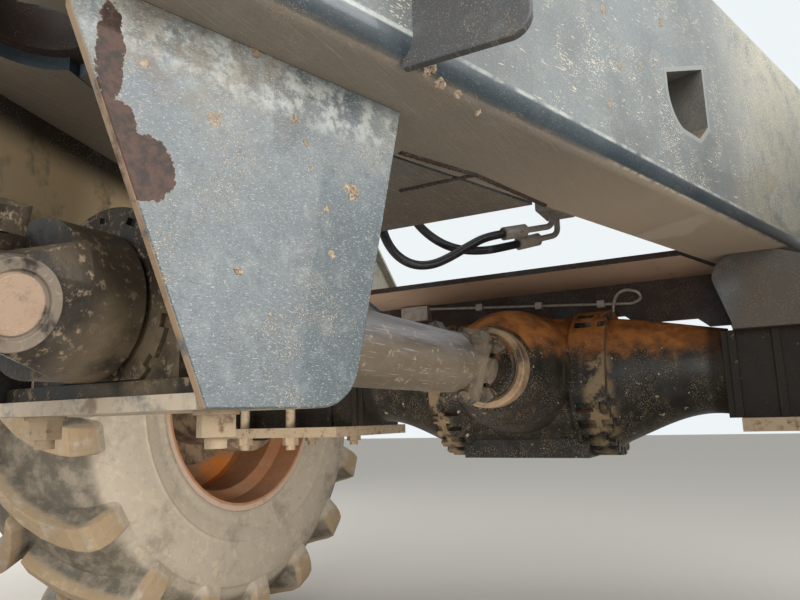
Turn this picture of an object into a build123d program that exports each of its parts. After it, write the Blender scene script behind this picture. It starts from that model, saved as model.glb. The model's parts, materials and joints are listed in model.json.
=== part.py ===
from build123d import *
from math import atan2, cos, degrees, radians, sin, tan
import os

# Front underframe of an articulated site dumper: splayed channel rails on a rigid
# drive axle, a cradle for the shaft's centre bearing, the shaft and two wheels.
# Origin on the king-pin axis, half-way between its two lugs.
# +X towards the skip, +Y to the machine's left, +Z up, millimetres.

# Stance
AXLE_X = 1045.0
AXLE_DROP = 357.0
SHAFT_DROP = 335.0
TRACK = 1800.0

# Rails, pressed channels that splay from the tail, run straight past the knee
# and lose their height towards the skip's pivots
PLATE = 10.0
RAIL_RISE = 178.0
RAIL_DROP = 165.0
RAIL_TAIL_X = -30.0
RAIL_TAIL_Y = 140.0
KNEE_X = 1160.0
RAIL_WIDE_Y = 531.0
RAIL_FRONT_X = 1650.0
LOWER_FLANGE = 138.0
UPPER_FLANGE = 90.0
BEND_R = 20.0
FALL_FROM_X = 1190.0
FALL_TO_X = 1430.0
FRONT_TOP = -38.0
FRONT_LIP = 30.0

# Window in the web, about a centre on its outer face
WINDOW_X = 607.0
WINDOW_RISE = -33.0
WINDOW_REAR = 50.0
WINDOW_FRONT = 62.0
WINDOW_HIGH = 61.0
WINDOW_HIGH_REAR = 17.0
WINDOW_LOW_FRONT = 20.0
WINDOW_LOW = 45.0
LINER_DEEP = 62.0
LINER_WALL = 6.0

# King-pin lugs on the lower flanges and the plates between the rails
LUG_THICK = 30.0
LUG_NOSE_R = 95.0
KING_PIN_R = 30.0
KING_CLEAR_R = 40.0
LOWER_LUG_INSET = 12.0
LUG_FRONT_X = 120.0
TAIL_PLATE_REAR = 46.0
TAIL_PLATE_FRONT = 515.0
BULKHEAD = 12.0

# Beam over the axle, with a hanging web, and the saddles on the axle
BEAM_REAR_X = AXLE_X - 140.0
BEAM_WEB_X = AXLE_X + 55.0
BEAM_WEB_HALF = 345.0
BEAM_WEB_DROP = 80.0
BEAM_ARCH_DROP = 63.0
BEAM_ARCH_Y = 175.0
BEAM_ARCH_RUN = 22.0
BEAM_HOLE_Y = 325.0
BEAM_HOLE_DROP = 55.0
BEAM_HOLE_R = 4.0
SADDLE_INNER_Y = 342.0
SADDLE_FOOT_Y = 364.0
SADDLE_OUTER_Y = 655.0
SADDLE_LONG = 210.0
SADDLE_CORNER_R = 40.0
SADDLE_OUTER_RISE = 30.0
CLAMP_THICK = 20.0
CLAMP_LONG = 300.0
CLAMP_EAR = 25.0
STUD_R = 10.0
STUD_OVER = 10.0
STUD_NUT_R = 17.3
STUD_NUT = 16.0
STUD_X = 126.0
STUD_YS = (495.0, 620.0)

# Cross tubes and pivots
RAM_BEAM_X = 805.0
RAM_BEAM_SIZE = 100.0
RAM_BEAM_WALL = 8.0
RAM_BEAM_Z = 20.0
RAM_EAR_GAP = 62.0
RAM_EAR_THICK = 20.0
RAM_EAR_RISE = 70.0
RAM_EAR_FOOT = 50.0
RAM_EAR_R = 40.0
RAM_PIN_R = 20.0
FRONT_TUBE_X = 1480.0
FRONT_TUBE_Z = -100.0
FRONT_TUBE_R = 45.0
FRONT_TUBE_WALL = 8.0
SKIP_PIVOT_X = 1590.0
SKIP_PIVOT_Z = -100.0
SKIP_PIN_R = 25.0
SKIP_NECK_R = 40.0
SKIP_BOSS_R = 55.0
SKIP_BOSS_LONG = 40.0
STEER_X = 330.0
STEER_Z = -40.0
STEER_REACH = 62.0
STEER_PIN_R = 15.0
STEER_EAR_R = 30.0
STEER_EAR_FOOT = 45.0
STEER_EAR_GAP = 42.0
STEER_EAR_THICK = 16.0

# Cradle hung under the tail
CRADLE_X = 52.0
CRADLE_Y = 105.0
CRADLE_SPLAY = 16.5
CRADLE_PLATE = 8.0
CRADLE_FLOOR = 10.0
CRADLE_FLOOR_LONG = 86.0
CRADLE_DROP = 241.0
CRADLE_LONG = 114.0
CRADLE_TOP_FRONT = 171.0
CRADLE_TOP_REAR = 88.0
CRADLE_KINK = 19.0
CRADLE_CORNER_R = 36.0
STEP_X = 150.0
STEP_REACH = 88.0
STEP_TALL = 150.0
STEP_SLOPE = 14.0
STEP_CORNER_R = 18.0
STEP_THICK = 8.0
STEP_UP = 6.0

# Centre bearing on the cradle's floor
BEARING_X = 82.0
BEARING_LONG = 40.0
BEARING_R = 55.0
HOUSING_R = 72.0
FOOT_HALF = 98.0
FOOT_THICK = 10.0
FOOT_STEP = 4.0
FLOOR_BOLT_Y = 85.0
FLOOR_BOLT_R = 7.0
FLOOR_NUT_R = 12.5
FLOOR_NUT = 14.0
FLOOR_WASHER = 3.0
FLOOR_BOLT_OVER = 7.0
RETAINER_R = 65.0
RETAINER = 4.0
RETAINER_SLOTS = 14
SLOT_WIDE = 9.0
SLOT_DEEP = 5.0

# Shaft line
SHAFT_PHASE = 16.5
DRUM_R = 51.0
FORK_ROOM = 44.0
FORK_ROUND_R = 57.0
STUB_R = 30.0
TUBE_R = 44.0
TUBE_FROM = 160.0
TUBE_TO = 644.0
TUBE_WALL = 4.0
TUBE_SPIGOT = 20.0
COLLAR = 22.0
REAR_JOINT_X = -34.0
FRONT_JOINT_X = 682.0
CROSS_SPAN = 108.0
CROSS_BALL_R = 17.0
TRUNNION_R = 10.0
CAP_R = 18.5
CAP_LONG = 19.0
CAP_END = 4.0
EAR_R = 26.0
EAR_ROOT = 42.0
EAR_THICK = 18.0
INPUT_HUB = 14.0
SLEEVE_LONG = 62.0
SLEEVE_R = 31.0
SPLINE_R = 17.5
SPLINE_LONG = 58.0
WING_FACE = 26.0
WING_THICK = 12.0
WING_HALF = 54.0
WING_INNER = 26.0
WING_OUTER = 49.0
WING_CUT = 10.0
WING_BOLT_HALF = 43.0
WING_BOLT_OUT = 36.0
WING_BOLT_R = 5.0
WING_HEAD_R = 9.0
WING_HEAD = 7.0
JOINT_FLANGE = 12.0
JOINT_HUB_R = 46.0
PINION_NECK_R = 34.0
RUN_FIT = 0.05
GAP = 5.0

# Axle
DRUM_HOUSING_R = 126.0
FLANGE_R = 133.0
FLANGE_Y = 145.0
FLANGE_LONG = 42.0
FLANGE_THICK = 20.0
FLANGE_STEP = 8.0
NOTCHES = 26
NOTCH_DEEP = 14.0
NOTCH_WIDE = 17.0
NOTCH_LONG = 30.0
NOTCH_LIP = 5.0
NOTCH_SMOOTH = (143.0, 190.0)
SUMP_LONG = 150.0
SUMP_HALF = 118.0
SUMP_DROP = 134.0
ARM_BOX_Y = 345.0
BEAM_BOX = 140.0
BOX_LONG = 156.0
RIB_YS = (361.0, 424.0)
RIB_WIDE = 12.0
RIB_HIGH = 8.0
NOSE_X = 795.0
NOSE_R = 66.0
NOSE_LIP = 8.0
NOSE_RING = 24.0
NOSE_FULL_R = 113.0
PINION_LONG = 60.0
DISC_R = 52.0
DISC_THICK = 12.0
PLUG_R = 11.0
PLUG_HIGH = 5.0
PLUG_Y = -124.0
LEVEL_PLUG_Y = 232.0
LEVEL_PLUG_R = 8.0
LEVEL_PLUG_OUT = 97.0
SPINDLE_R = 55.0
SPINDLE_END = 830.0
END_FLANGE_R = 100.0
END_FLANGE_Y = 690.0
END_FLANGE_THICK = 18.0
END_NECK_R = 72.0

# Wheels
RIM_R = 254.0
RIM_FLANGE_R = 273.0
RIM_HALF = 178.0
RIM_WALL = 9.0
WELL_R = 228.0
DISC_OFFSET = 30.0
DISC_PLATE = 12.0
TYRE_R = 537.0
TYRE_HALF = 202.0
TYRE_WALL = 22.0
LUG_HIGH = 32.0
LUG_COUNT = 17
LUG_WIDE = 46.0
LUG_ANGLE = 42.0
HUB_BELL_R = 165.0
HUB_WAIST_R = 133.0
HUB_CASE_R = 105.0
HUB_CASE_LONG = 96.0
WHEEL_STUDS = 8
WHEEL_PCD = 275.0
WHEEL_NUT_R = 17.3
WHEEL_NUT = 20.0
WHEEL_STUD_R = 10.0

# Hoses and pipes
HOSE_R = 6.7
FERRULE_R = 10.5
FERRULE_LONG = 42.0
UNION_R = 5.0
UNION_BEND = 16.0
PIPE_R = 3.0
CLIP_HALF = 7.0

# Derived places
RAIL_TOP = RAIL_RISE
RAIL_BOTTOM = -RAIL_DROP
SPLAY = degrees(atan2(RAIL_WIDE_Y - RAIL_TAIL_Y, KNEE_X - RAIL_TAIL_X))
LOWER_LUG_Z = RAIL_BOTTOM + PLATE
UPPER_LUG_Z = -LOWER_LUG_Z - LUG_THICK
HALF_TRACK = TRACK / 2
AXLE_Z = -AXLE_DROP
SHAFT_Z = -SHAFT_DROP
FLOOR_UNDER = RAIL_BOTTOM - CRADLE_DROP
FLOOR_TOP = FLOOR_UNDER + CRADLE_FLOOR
PAD_TOP = AXLE_Z + BEAM_BOX / 2
PAD_UNDER = AXLE_Z - BEAM_BOX / 2
RETAINER_X = BEARING_X - BEARING_LONG / 2 - RETAINER
DRUM_FROM = REAR_JOINT_X + FORK_ROOM
DRUM_TO = RETAINER_X - GAP
CROSS_TIP = CROSS_SPAN / 2


def rail_y(x):
    """Outer face of the left rail's web at x."""
    if x >= KNEE_X:
        return RAIL_WIDE_Y
    return RAIL_TAIL_Y + (x - RAIL_TAIL_X) * tan(radians(SPLAY))


def inset_y(x, inset):
    """Face of the left rail that lies inset behind the outer face of its web."""
    if x >= KNEE_X - inset * tan(radians(SPLAY / 2)):
        return RAIL_WIDE_Y - inset
    return rail_y(x) - inset / cos(radians(SPLAY))


def block(x0, x1, y0, y1, z0, z1):
    """Box between two corners."""
    return Pos((x0 + x1) / 2, (y0 + y1) / 2, (z0 + z1) / 2) * Box(
        abs(x1 - x0), abs(y1 - y0), abs(z1 - z0)
    )


def slab(points, z0, z1):
    """Plan outline raised from z0 to z1."""
    outline = make_face(Polyline(*points, close=True))
    return Pos(0, 0, z0) * extrude(outline, z1 - z0, dir=(0, 0, 1))


def between_rails(x0, x1, inset, z0, z1):
    """Plate across the frame that ends inset behind both webs' outer faces."""
    rear_y = inset_y(x0, inset)
    front_y = inset_y(x1, inset)
    return slab([(x0, -rear_y), (x1, -front_y), (x1, front_y), (x0, rear_y)], z0, z1)


def side_prism(points, y0, y1):
    """Side outline in x and z, run from y0 to y1."""
    with BuildSketch(Plane.XZ) as outline:
        with BuildLine():
            Polyline(*points, close=True)
        make_face()
    return Pos(0, y0, 0) * extrude(outline.sketch, y1 - y0, dir=(0, 1, 0))


def rod(start, end, radius):
    """Round bar between two points."""
    run = Vector(*end) - Vector(*start)
    plane = Plane(origin=start, z_dir=run)
    return extrude(plane * Circle(radius), run.length)


def nut(x, y, z, radius, thick):
    """Hexagon standing on z."""
    return Pos(x, y, z) * extrude(RegularPolygon(radius, 6), thick)


def other_side(shape):
    """The same piece on the machine's right."""
    return mirror(shape, about=Plane.XZ)


def both(shape):
    """Left and right copies in one compound."""
    return Compound(children=[Compound(shape.solids()), Compound(other_side(shape).solids())])


def spin_y(profile, y, z=AXLE_Z):
    """Turned piece about the axle line from (distance along y, radius) pairs or a sketch."""
    sketch = make_face(Polyline(*profile, close=True)) if isinstance(profile, list) else profile
    turned = revolve(sketch, Axis.X, 360)
    return Pos(AXLE_X, y, z) * Rot(0, 0, 90) * turned


def spin_x(profile):
    """Turned piece about the shaft line from (x, radius) pairs."""
    turned = revolve(make_face(Polyline(*profile, close=True)), Axis.X, 360)
    return Pos(0, 0, SHAFT_Z) * turned


def tube_along(points, radius):
    """Round bar along a route of straight runs joined by the widest tangent arcs."""
    route = [Vector(*p) for p in points]
    radii = []
    for before, here, after in zip(route, route[1:], route[2:]):
        turn = (here - before).get_angle(after - here)
        shorter = min((here - before).length, (after - here).length)
        radii.append(0.45 * shorter / tan(radians(turn / 2)))
    line = FilletPolyline(*points, radius=radii)
    start = Plane(origin=points[0], z_dir=route[1] - route[0])
    return sweep(start * Circle(radius), path=line), line.length, radii


# Frame

def rail_band(inset, reach, x0, x1):
    """Plan band of the left rail from inset to reach behind its outer face."""
    knee_in = KNEE_X - inset * tan(radians(SPLAY / 2))
    knee_far = KNEE_X - reach * tan(radians(SPLAY / 2))
    return [
        (x0, inset_y(x0, inset)),
        (knee_in, RAIL_WIDE_Y - inset),
        (x1, RAIL_WIDE_Y - inset),
        (x1, RAIL_WIDE_Y - reach),
        (knee_far, RAIL_WIDE_Y - reach),
        (x0, inset_y(x0, reach)),
    ]


def window_cutter(grow, deep_from, deep_to):
    """Bar of the window's outline, high and straight in front, round below."""
    with BuildSketch() as window:
        with BuildLine():
            front = Polyline(
                (-WINDOW_REAR, 0),
                (-WINDOW_REAR, WINDOW_HIGH_REAR),
                (WINDOW_FRONT, WINDOW_HIGH),
                (WINDOW_FRONT, -WINDOW_LOW_FRONT),
                (WINDOW_FRONT / 2, -WINDOW_LOW),
            )
            low = Line(front @ 1, (-WINDOW_REAR / 3, -WINDOW_LOW))
            RadiusArc(low @ 1, front @ 0, WINDOW_LOW)
        make_face()
        if grow > 0:
            offset(amount=grow, kind=Kind.INTERSECTION)
    plane = Plane(
        origin=(WINDOW_X, rail_y(WINDOW_X), WINDOW_RISE),
        x_dir=(cos(radians(SPLAY)), sin(radians(SPLAY)), 0),
        z_dir=(sin(radians(SPLAY)), -cos(radians(SPLAY)), 0),
    )
    bar = extrude(window.sketch, deep_to - deep_from)
    return plane.location * (Pos(0, 0, deep_from) * bar)


def front_fall():
    """Wedge above the rail's falling top, and the narrow lip along that top."""
    over = RAIL_TOP + 1
    cut = side_prism(
        [
            (FALL_FROM_X, over),
            (FALL_FROM_X, RAIL_TOP),
            (FALL_TO_X, FRONT_TOP),
            (RAIL_FRONT_X + 1, FRONT_TOP),
            (RAIL_FRONT_X + 1, over),
        ],
        RAIL_WIDE_Y - LOWER_FLANGE - 1,
        RAIL_WIDE_Y + 1,
    )
    lip = side_prism(
        [
            (FALL_FROM_X, RAIL_TOP),
            (FALL_TO_X, FRONT_TOP),
            (RAIL_FRONT_X, FRONT_TOP),
            (RAIL_FRONT_X, FRONT_TOP - PLATE),
            (FALL_TO_X, FRONT_TOP - PLATE),
            (FALL_FROM_X, RAIL_TOP - PLATE),
        ],
        RAIL_WIDE_Y - FRONT_LIP,
        RAIL_WIDE_Y,
    )
    return cut, lip


def rail():
    """Left rail: web with rounded bends into a wide lower and a narrow upper flange."""
    x0 = RAIL_TAIL_X
    x1 = RAIL_FRONT_X
    outer = slab(rail_band(0, LOWER_FLANGE, x0, x1), RAIL_BOTTOM, RAIL_TOP)
    hollow = slab(
        rail_band(PLATE, LOWER_FLANGE + 1, x0 - 1, x1 + 1), RAIL_BOTTOM + PLATE, RAIL_TOP - PLATE
    )
    trim = slab(
        rail_band(UPPER_FLANGE, LOWER_FLANGE + 1, x0 - 1, x1 + 1), RAIL_TOP - PLATE - 1, RAIL_TOP + 1
    )
    channel = outer - hollow - trim
    for inset, radius in ((0, BEND_R), (PLATE, BEND_R - PLATE)):
        levels = (RAIL_BOTTOM + inset, RAIL_TOP - inset)
        bends = [
            edge
            for edge in channel.edges()
            if min(abs(edge.center().Z - level) for level in levels) < 0.01
            and edge.length > LOWER_FLANGE * 1.6
            and abs(edge.center().Y - inset_y(edge.center().X, inset)) < 0.5
        ]
        channel = fillet(bends, radius)
    past_middle = block(x0 - 1, LUG_FRONT_X, -LOWER_FLANGE, 0, RAIL_BOTTOM - 1, RAIL_TOP + 1)
    king_hole = rod((0, 0, RAIL_BOTTOM - 1), (0, 0, RAIL_TOP + 1), KING_CLEAR_R)
    skip_hole = rod(
        (SKIP_PIVOT_X, RAIL_WIDE_Y - 3 * PLATE, SKIP_PIVOT_Z),
        (SKIP_PIVOT_X, RAIL_WIDE_Y + PLATE, SKIP_PIVOT_Z),
        SKIP_NECK_R,
    )
    cut, lip = front_fall()
    channel = channel - cut + lip
    window = window_cutter(LINER_WALL, -LINER_DEEP, LINER_DEEP)
    return channel - past_middle - king_hole - skip_hole - window


def window_liner():
    """Short welded liner of the window in the left web."""
    return window_cutter(LINER_WALL, 0, LINER_DEEP) - window_cutter(0, -1, LINER_DEEP + 1)


def king_lug(z0, inset):
    """Thick plate with a round nose about the king-pin bore, wide between the webs."""
    tail_y = inset_y(RAIL_TAIL_X, PLATE) - inset
    front_y = inset_y(LUG_FRONT_X, PLATE) - inset
    reach = slab(
        [
            (RAIL_TAIL_X, -tail_y),
            (LUG_FRONT_X, -front_y),
            (LUG_FRONT_X, front_y),
            (RAIL_TAIL_X, tail_y),
        ],
        z0,
        z0 + LUG_THICK,
    )
    nose = Pos(0, 0, z0) * extrude(Circle(LUG_NOSE_R), LUG_THICK)
    cheek_x = -LUG_NOSE_R * cos(radians(35))
    cheek_y = LUG_NOSE_R * sin(radians(35))
    shoulder = slab(
        [(RAIL_TAIL_X, tail_y), (RAIL_TAIL_X, -tail_y), (cheek_x, -cheek_y), (cheek_x, cheek_y)],
        z0,
        z0 + LUG_THICK,
    )
    bore = Pos(0, 0, z0 - 1) * extrude(Circle(KING_PIN_R), LUG_THICK + 2)
    return reach + nose + shoulder - bore


def lug_bulkhead():
    """Upright plate that joins both lugs in front of the knuckle's room."""
    return between_rails(
        LUG_FRONT_X - BULKHEAD, LUG_FRONT_X, PLATE, LOWER_LUG_Z + LUG_THICK, UPPER_LUG_Z
    )


def front_bulkhead():
    """Upright plate across the frame over the tail plate's front edge."""
    x0 = TAIL_PLATE_FRONT - BULKHEAD
    x1 = TAIL_PLATE_FRONT
    levels = (RAIL_BOTTOM + PLATE, RAIL_TOP - PLATE)
    plate = between_rails(x0, x1, PLATE, *levels)
    for side in (-1, 1):
        for level in levels:
            corner = rod(
                (x0 - 1, side * (inset_y(x0, PLATE) - 1), level),
                (x1 + 1, side * (inset_y(x1, PLATE) + 1), level),
                BEND_R - PLATE + 1,
            )
            plate = plate - corner
    return plate


def axle_beam():
    """Pressed beam over the axle: flat flange level with the rails', web hanging at its front."""
    flange = between_rails(
        BEAM_REAR_X, BEAM_WEB_X + PLATE, LOWER_FLANGE, RAIL_BOTTOM, RAIL_BOTTOM + PLATE
    )
    low = RAIL_BOTTOM - BEAM_WEB_DROP
    arch = RAIL_BOTTOM - BEAM_ARCH_DROP
    with BuildSketch(Plane.YZ) as outline:
        with BuildLine():
            Polyline(
                (-BEAM_WEB_HALF, RAIL_BOTTOM),
                (-BEAM_WEB_HALF, low),
                (-BEAM_ARCH_Y - BEAM_ARCH_RUN, low),
                (-BEAM_ARCH_Y, arch),
                (BEAM_ARCH_Y, arch),
                (BEAM_ARCH_Y + BEAM_ARCH_RUN, low),
                (BEAM_WEB_HALF, low),
                (BEAM_WEB_HALF, RAIL_BOTTOM),
                close=True,
            )
        make_face()
        with Locations(
            (-BEAM_HOLE_Y, RAIL_BOTTOM - BEAM_HOLE_DROP), (BEAM_HOLE_Y, RAIL_BOTTOM - BEAM_HOLE_DROP)
        ):
            Circle(BEAM_HOLE_R, mode=Mode.SUBTRACT)
    web = Pos(BEAM_WEB_X, 0, 0) * extrude(outline.sketch, PLATE, dir=(1, 0, 0))
    return flange + web


def saddle_upright(x):
    """Upright plate of the left saddle at x, round at its upper inner corner."""
    low = PAD_TOP + PLATE
    round_r = SADDLE_CORNER_R
    with BuildSketch(Plane.YZ) as outline:
        with BuildLine():
            rim = Polyline(
                (SADDLE_INNER_Y, RAIL_BOTTOM - round_r),
                (SADDLE_FOOT_Y, low),
                (SADDLE_OUTER_Y, low),
                (SADDLE_OUTER_Y, low + SADDLE_OUTER_RISE),
                (rail_y(x) - BEND_R, RAIL_BOTTOM),
                (SADDLE_INNER_Y + round_r, RAIL_BOTTOM),
            )
            RadiusArc(rim @ 1, rim @ 0, -round_r)
        make_face()
    return Pos(x, 0, 0) * extrude(outline.sketch, PLATE, dir=(1, 0, 0))


def saddle():
    """Left saddle: two upright plates and a pad that sits on the axle's box."""
    x0 = AXLE_X - SADDLE_LONG / 2
    x1 = AXLE_X + SADDLE_LONG / 2
    body = saddle_upright(x0) + saddle_upright(x1 - PLATE)
    body = body + block(x0, x1, SADDLE_FOOT_Y, SADDLE_OUTER_Y, PAD_TOP, PAD_TOP + PLATE)
    rear = x0 + PLATE
    front = x1 - PLATE
    body = body + slab(
        [
            (rear, rail_y(rear) - BEND_R - PLATE),
            (front, rail_y(front) - BEND_R - PLATE),
            (front, rail_y(front) - BEND_R),
            (rear, rail_y(rear) - BEND_R),
        ],
        PAD_TOP + PLATE,
        RAIL_BOTTOM,
    )
    body = body + block(
        AXLE_X - CLAMP_LONG / 2,
        AXLE_X + CLAMP_LONG / 2,
        STUD_YS[0] - CLAMP_EAR,
        SADDLE_OUTER_Y,
        PAD_TOP,
        PAD_TOP + PLATE,
    )
    for x, y in stud_places():
        body = body - rod((x, y, PAD_TOP - 1), (x, y, PAD_TOP + PLATE + 1), STUD_R)
    return body


def stud_places():
    """Places of the left clamp's four studs."""
    return [(AXLE_X + side * STUD_X, y) for y in STUD_YS for side in (-1, 1)]


def clamp():
    """Left clamp plate under the axle's box, with its holes."""
    plate = block(
        AXLE_X - CLAMP_LONG / 2,
        AXLE_X + CLAMP_LONG / 2,
        SADDLE_FOOT_Y,
        SADDLE_OUTER_Y,
        PAD_UNDER - CLAMP_THICK,
        PAD_UNDER,
    )
    for x, y in stud_places():
        plate = plate - rod((x, y, PAD_UNDER - CLAMP_THICK - 1), (x, y, PAD_UNDER + 1), STUD_R)
    return plate


def studs():
    """Left clamp studs with their nuts, four separate bars."""
    low = PAD_UNDER - CLAMP_THICK
    high = PAD_TOP + PLATE
    reach = STUD_NUT + STUD_OVER
    bars = []
    for x, y in stud_places():
        bar = rod((x, y, low - reach), (x, y, high + reach), STUD_R)
        bar = bar + nut(x, y, low - STUD_NUT, STUD_NUT_R, STUD_NUT)
        bar = bar + nut(x, y, high, STUD_NUT_R, STUD_NUT)
        bars += bar.solids()
    return Compound(bars)


def ram_beam():
    """Square cross tube that carries the tipping ram's ears."""
    x0 = RAM_BEAM_X - RAM_BEAM_SIZE / 2
    x1 = RAM_BEAM_X + RAM_BEAM_SIZE / 2
    z0 = RAM_BEAM_Z - RAM_BEAM_SIZE / 2
    z1 = RAM_BEAM_Z + RAM_BEAM_SIZE / 2
    wall = RAM_BEAM_WALL
    tube = between_rails(x0, x1, PLATE, z0, z1)
    side = inset_y(x1, PLATE)
    return tube - block(x0 + wall, x1 - wall, -side, side, z0 + wall, z1 - wall)


def ram_ears():
    """Two upright ears on the cross tube with the ram's pin bore."""
    z0 = RAM_BEAM_Z + RAM_BEAM_SIZE / 2
    with BuildSketch(Plane.XZ) as outline:
        with BuildLine():
            Polyline(
                (RAM_BEAM_X - RAM_EAR_FOOT, z0),
                (RAM_BEAM_X + RAM_EAR_FOOT, z0),
                (RAM_BEAM_X + RAM_EAR_R, z0 + RAM_EAR_RISE),
                (RAM_BEAM_X - RAM_EAR_R, z0 + RAM_EAR_RISE),
                close=True,
            )
        make_face()
        with Locations((RAM_BEAM_X, z0 + RAM_EAR_RISE)):
            Circle(RAM_EAR_R)
            Circle(RAM_PIN_R, mode=Mode.SUBTRACT)
    ear = extrude(outline.sketch, RAM_EAR_THICK, dir=(0, 1, 0))
    left = Pos(0, RAM_EAR_GAP / 2, 0) * ear
    return Compound([left.solids()[0], other_side(left).solids()[0]])


def front_tube():
    """Round cross tube near the rails' front ends."""
    x = FRONT_TUBE_X
    y = RAIL_WIDE_Y - PLATE
    z = FRONT_TUBE_Z
    outer = rod((x, -y, z), (x, y, z), FRONT_TUBE_R)
    return outer - rod((x, -y - 1, z), (x, y + 1, z), FRONT_TUBE_R - FRONT_TUBE_WALL)


def skip_boss():
    """Left boss of the skip's pivot, welded into the web."""
    x = SKIP_PIVOT_X
    z = SKIP_PIVOT_Z
    y0 = RAIL_WIDE_Y - SKIP_BOSS_LONG
    y1 = RAIL_WIDE_Y + PLATE
    neck = rod((x, y0, z), (x, y1, z), SKIP_NECK_R)
    collar = rod((x, RAIL_WIDE_Y, z), (x, y1, z), SKIP_BOSS_R)
    return neck + collar - rod((x, y0 - 1, z), (x, y1 + 1, z), SKIP_PIN_R)


def steer_ears():
    """Two level ears on the left web for the steering ram's pin."""
    pin_y = rail_y(STEER_X) + STEER_REACH
    foot = STEER_EAR_FOOT
    with BuildSketch() as outline:
        with BuildLine():
            Polyline(
                (STEER_X - foot, rail_y(STEER_X - foot)),
                (STEER_X + foot, rail_y(STEER_X + foot)),
                (STEER_X + STEER_EAR_R, pin_y),
                (STEER_X - STEER_EAR_R, pin_y),
                close=True,
            )
        make_face()
        with Locations((STEER_X, pin_y)):
            Circle(STEER_EAR_R)
            Circle(STEER_PIN_R, mode=Mode.SUBTRACT)
    ear = extrude(outline.sketch, STEER_EAR_THICK)
    upper = Pos(0, 0, STEER_Z + STEER_EAR_GAP / 2) * ear
    lower = Pos(0, 0, STEER_Z - STEER_EAR_GAP / 2 - STEER_EAR_THICK) * ear
    return Compound([upper.solids()[0], lower.solids()[0]])


def cradle_side():
    """Left hanging plate, cut to a trapezoid with a kinked rear edge and a round lower corner."""
    splay = radians(CRADLE_SPLAY)
    plane = Plane(
        origin=(CRADLE_X, CRADLE_Y, RAIL_BOTTOM),
        x_dir=(cos(splay), sin(splay), 0),
        z_dir=(sin(splay), -cos(splay), 0),
    )
    with BuildSketch() as outline:
        with BuildLine():
            Polyline(
                (0, -CRADLE_DROP),
                (CRADLE_LONG, -CRADLE_DROP),
                (CRADLE_TOP_FRONT, 0),
                (-CRADLE_TOP_REAR, 0),
                (-CRADLE_TOP_REAR, -CRADLE_KINK),
                close=True,
            )
        make_face()
        lower = outline.vertices().filter_by(lambda v: abs(v.X - CRADLE_LONG) < 1)
        fillet(lower, CRADLE_CORNER_R)
    return plane.location * extrude(outline.sketch, CRADLE_PLATE)


def cradle_floor():
    """Floor of the cradle between the hanging plates, with its bolt holes."""
    splay = radians(CRADLE_SPLAY)
    inner = CRADLE_PLATE / cos(splay)
    reach = CRADLE_FLOOR_LONG
    rear_y = CRADLE_Y - inner
    front_y = CRADLE_Y + reach * tan(splay) - inner
    x1 = CRADLE_X + reach
    plate = slab(
        [(CRADLE_X, -rear_y), (x1, -front_y), (x1, front_y), (CRADLE_X, rear_y)],
        FLOOR_UNDER,
        FLOOR_TOP,
    )
    for side in (-1, 1):
        y = side * FLOOR_BOLT_Y
        plate = plate - rod((BEARING_X, y, FLOOR_UNDER - 1), (BEARING_X, y, FLOOR_TOP + 1), FLOOR_BOLT_R)
    return plate


def floor_bolts():
    """Bolts that hold the bearing housing down, with nuts under the floor."""
    foot_top = FLOOR_TOP + FOOT_THICK
    nut_z = FLOOR_UNDER - FLOOR_WASHER - FLOOR_NUT
    pieces = []
    for side in (-1, 1):
        x = BEARING_X
        y = side * FLOOR_BOLT_Y
        bolt = rod((x, y, nut_z - FLOOR_BOLT_OVER), (x, y, foot_top + 1), FLOOR_BOLT_R)
        bolt = bolt + nut(x, y, nut_z, FLOOR_NUT_R, FLOOR_NUT)
        bolt = bolt + Pos(x, y, FLOOR_UNDER - FLOOR_WASHER) * extrude(
            Circle(FLOOR_NUT_R + 2), FLOOR_WASHER
        )
        bolt = bolt + nut(x, y, foot_top, FLOOR_NUT_R, FLOOR_NUT / 2)
        pieces += bolt.solids()
    return Compound(pieces)


def step_bracket():
    """Left bracket plate that stands square off the web at the tail."""
    y0 = rail_y(STEP_X)
    y1 = y0 + STEP_REACH
    z0 = RAIL_BOTTOM + STEP_UP
    with BuildSketch(Plane.YZ) as outline:
        with BuildLine():
            Polyline(
                (y0 - BEND_R, z0),
                (y1, z0 + STEP_SLOPE),
                (y1, z0 + STEP_TALL),
                (y0 - BEND_R, z0 + STEP_TALL),
                close=True,
            )
        make_face()
        corner = outline.vertices().filter_by(lambda v: v.Y > y0 + 1 and v.Z < z0 + STEP_TALL - 1)
        fillet(corner, STEP_CORNER_R)
    plate = Pos(STEP_X, 0, 0) * extrude(outline.sketch, STEP_THICK, dir=(1, 0, 0))
    inside = slab(rail_band(0, LOWER_FLANGE, STEP_X - 1, RAIL_FRONT_X), RAIL_BOTTOM - 1, RAIL_TOP + 1)
    return plate - inside


# Shaft line

def on_shaft(shape):
    """A joint's piece, drawn about the X axis, laid on the shaft line at the shaft's phase."""
    return Pos(0, 0, SHAFT_Z) * Rot(SHAFT_PHASE, 0, 0) * shape


def joint_cross(x):
    """Four-armed cross, its arms ending inside the bearing caps."""
    tip = CROSS_TIP - CAP_END
    cross = Pos(x, 0, 0) * Sphere(CROSS_BALL_R)
    cross = cross + rod((x, -tip, 0), (x, tip, 0), TRUNNION_R)
    cross = cross + rod((x, 0, -tip), (x, 0, tip), TRUNNION_R)
    return on_shaft(cross)


def cap(x):
    """One closed needle-bearing cap on the cross's upper arm."""
    inner = CROSS_TIP - CAP_LONG
    body = rod((x, 0, inner), (x, 0, CROSS_TIP), CAP_R)
    return body - rod((x, 0, inner - 1), (x, 0, CROSS_TIP - CAP_END), TRUNNION_R)


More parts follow.
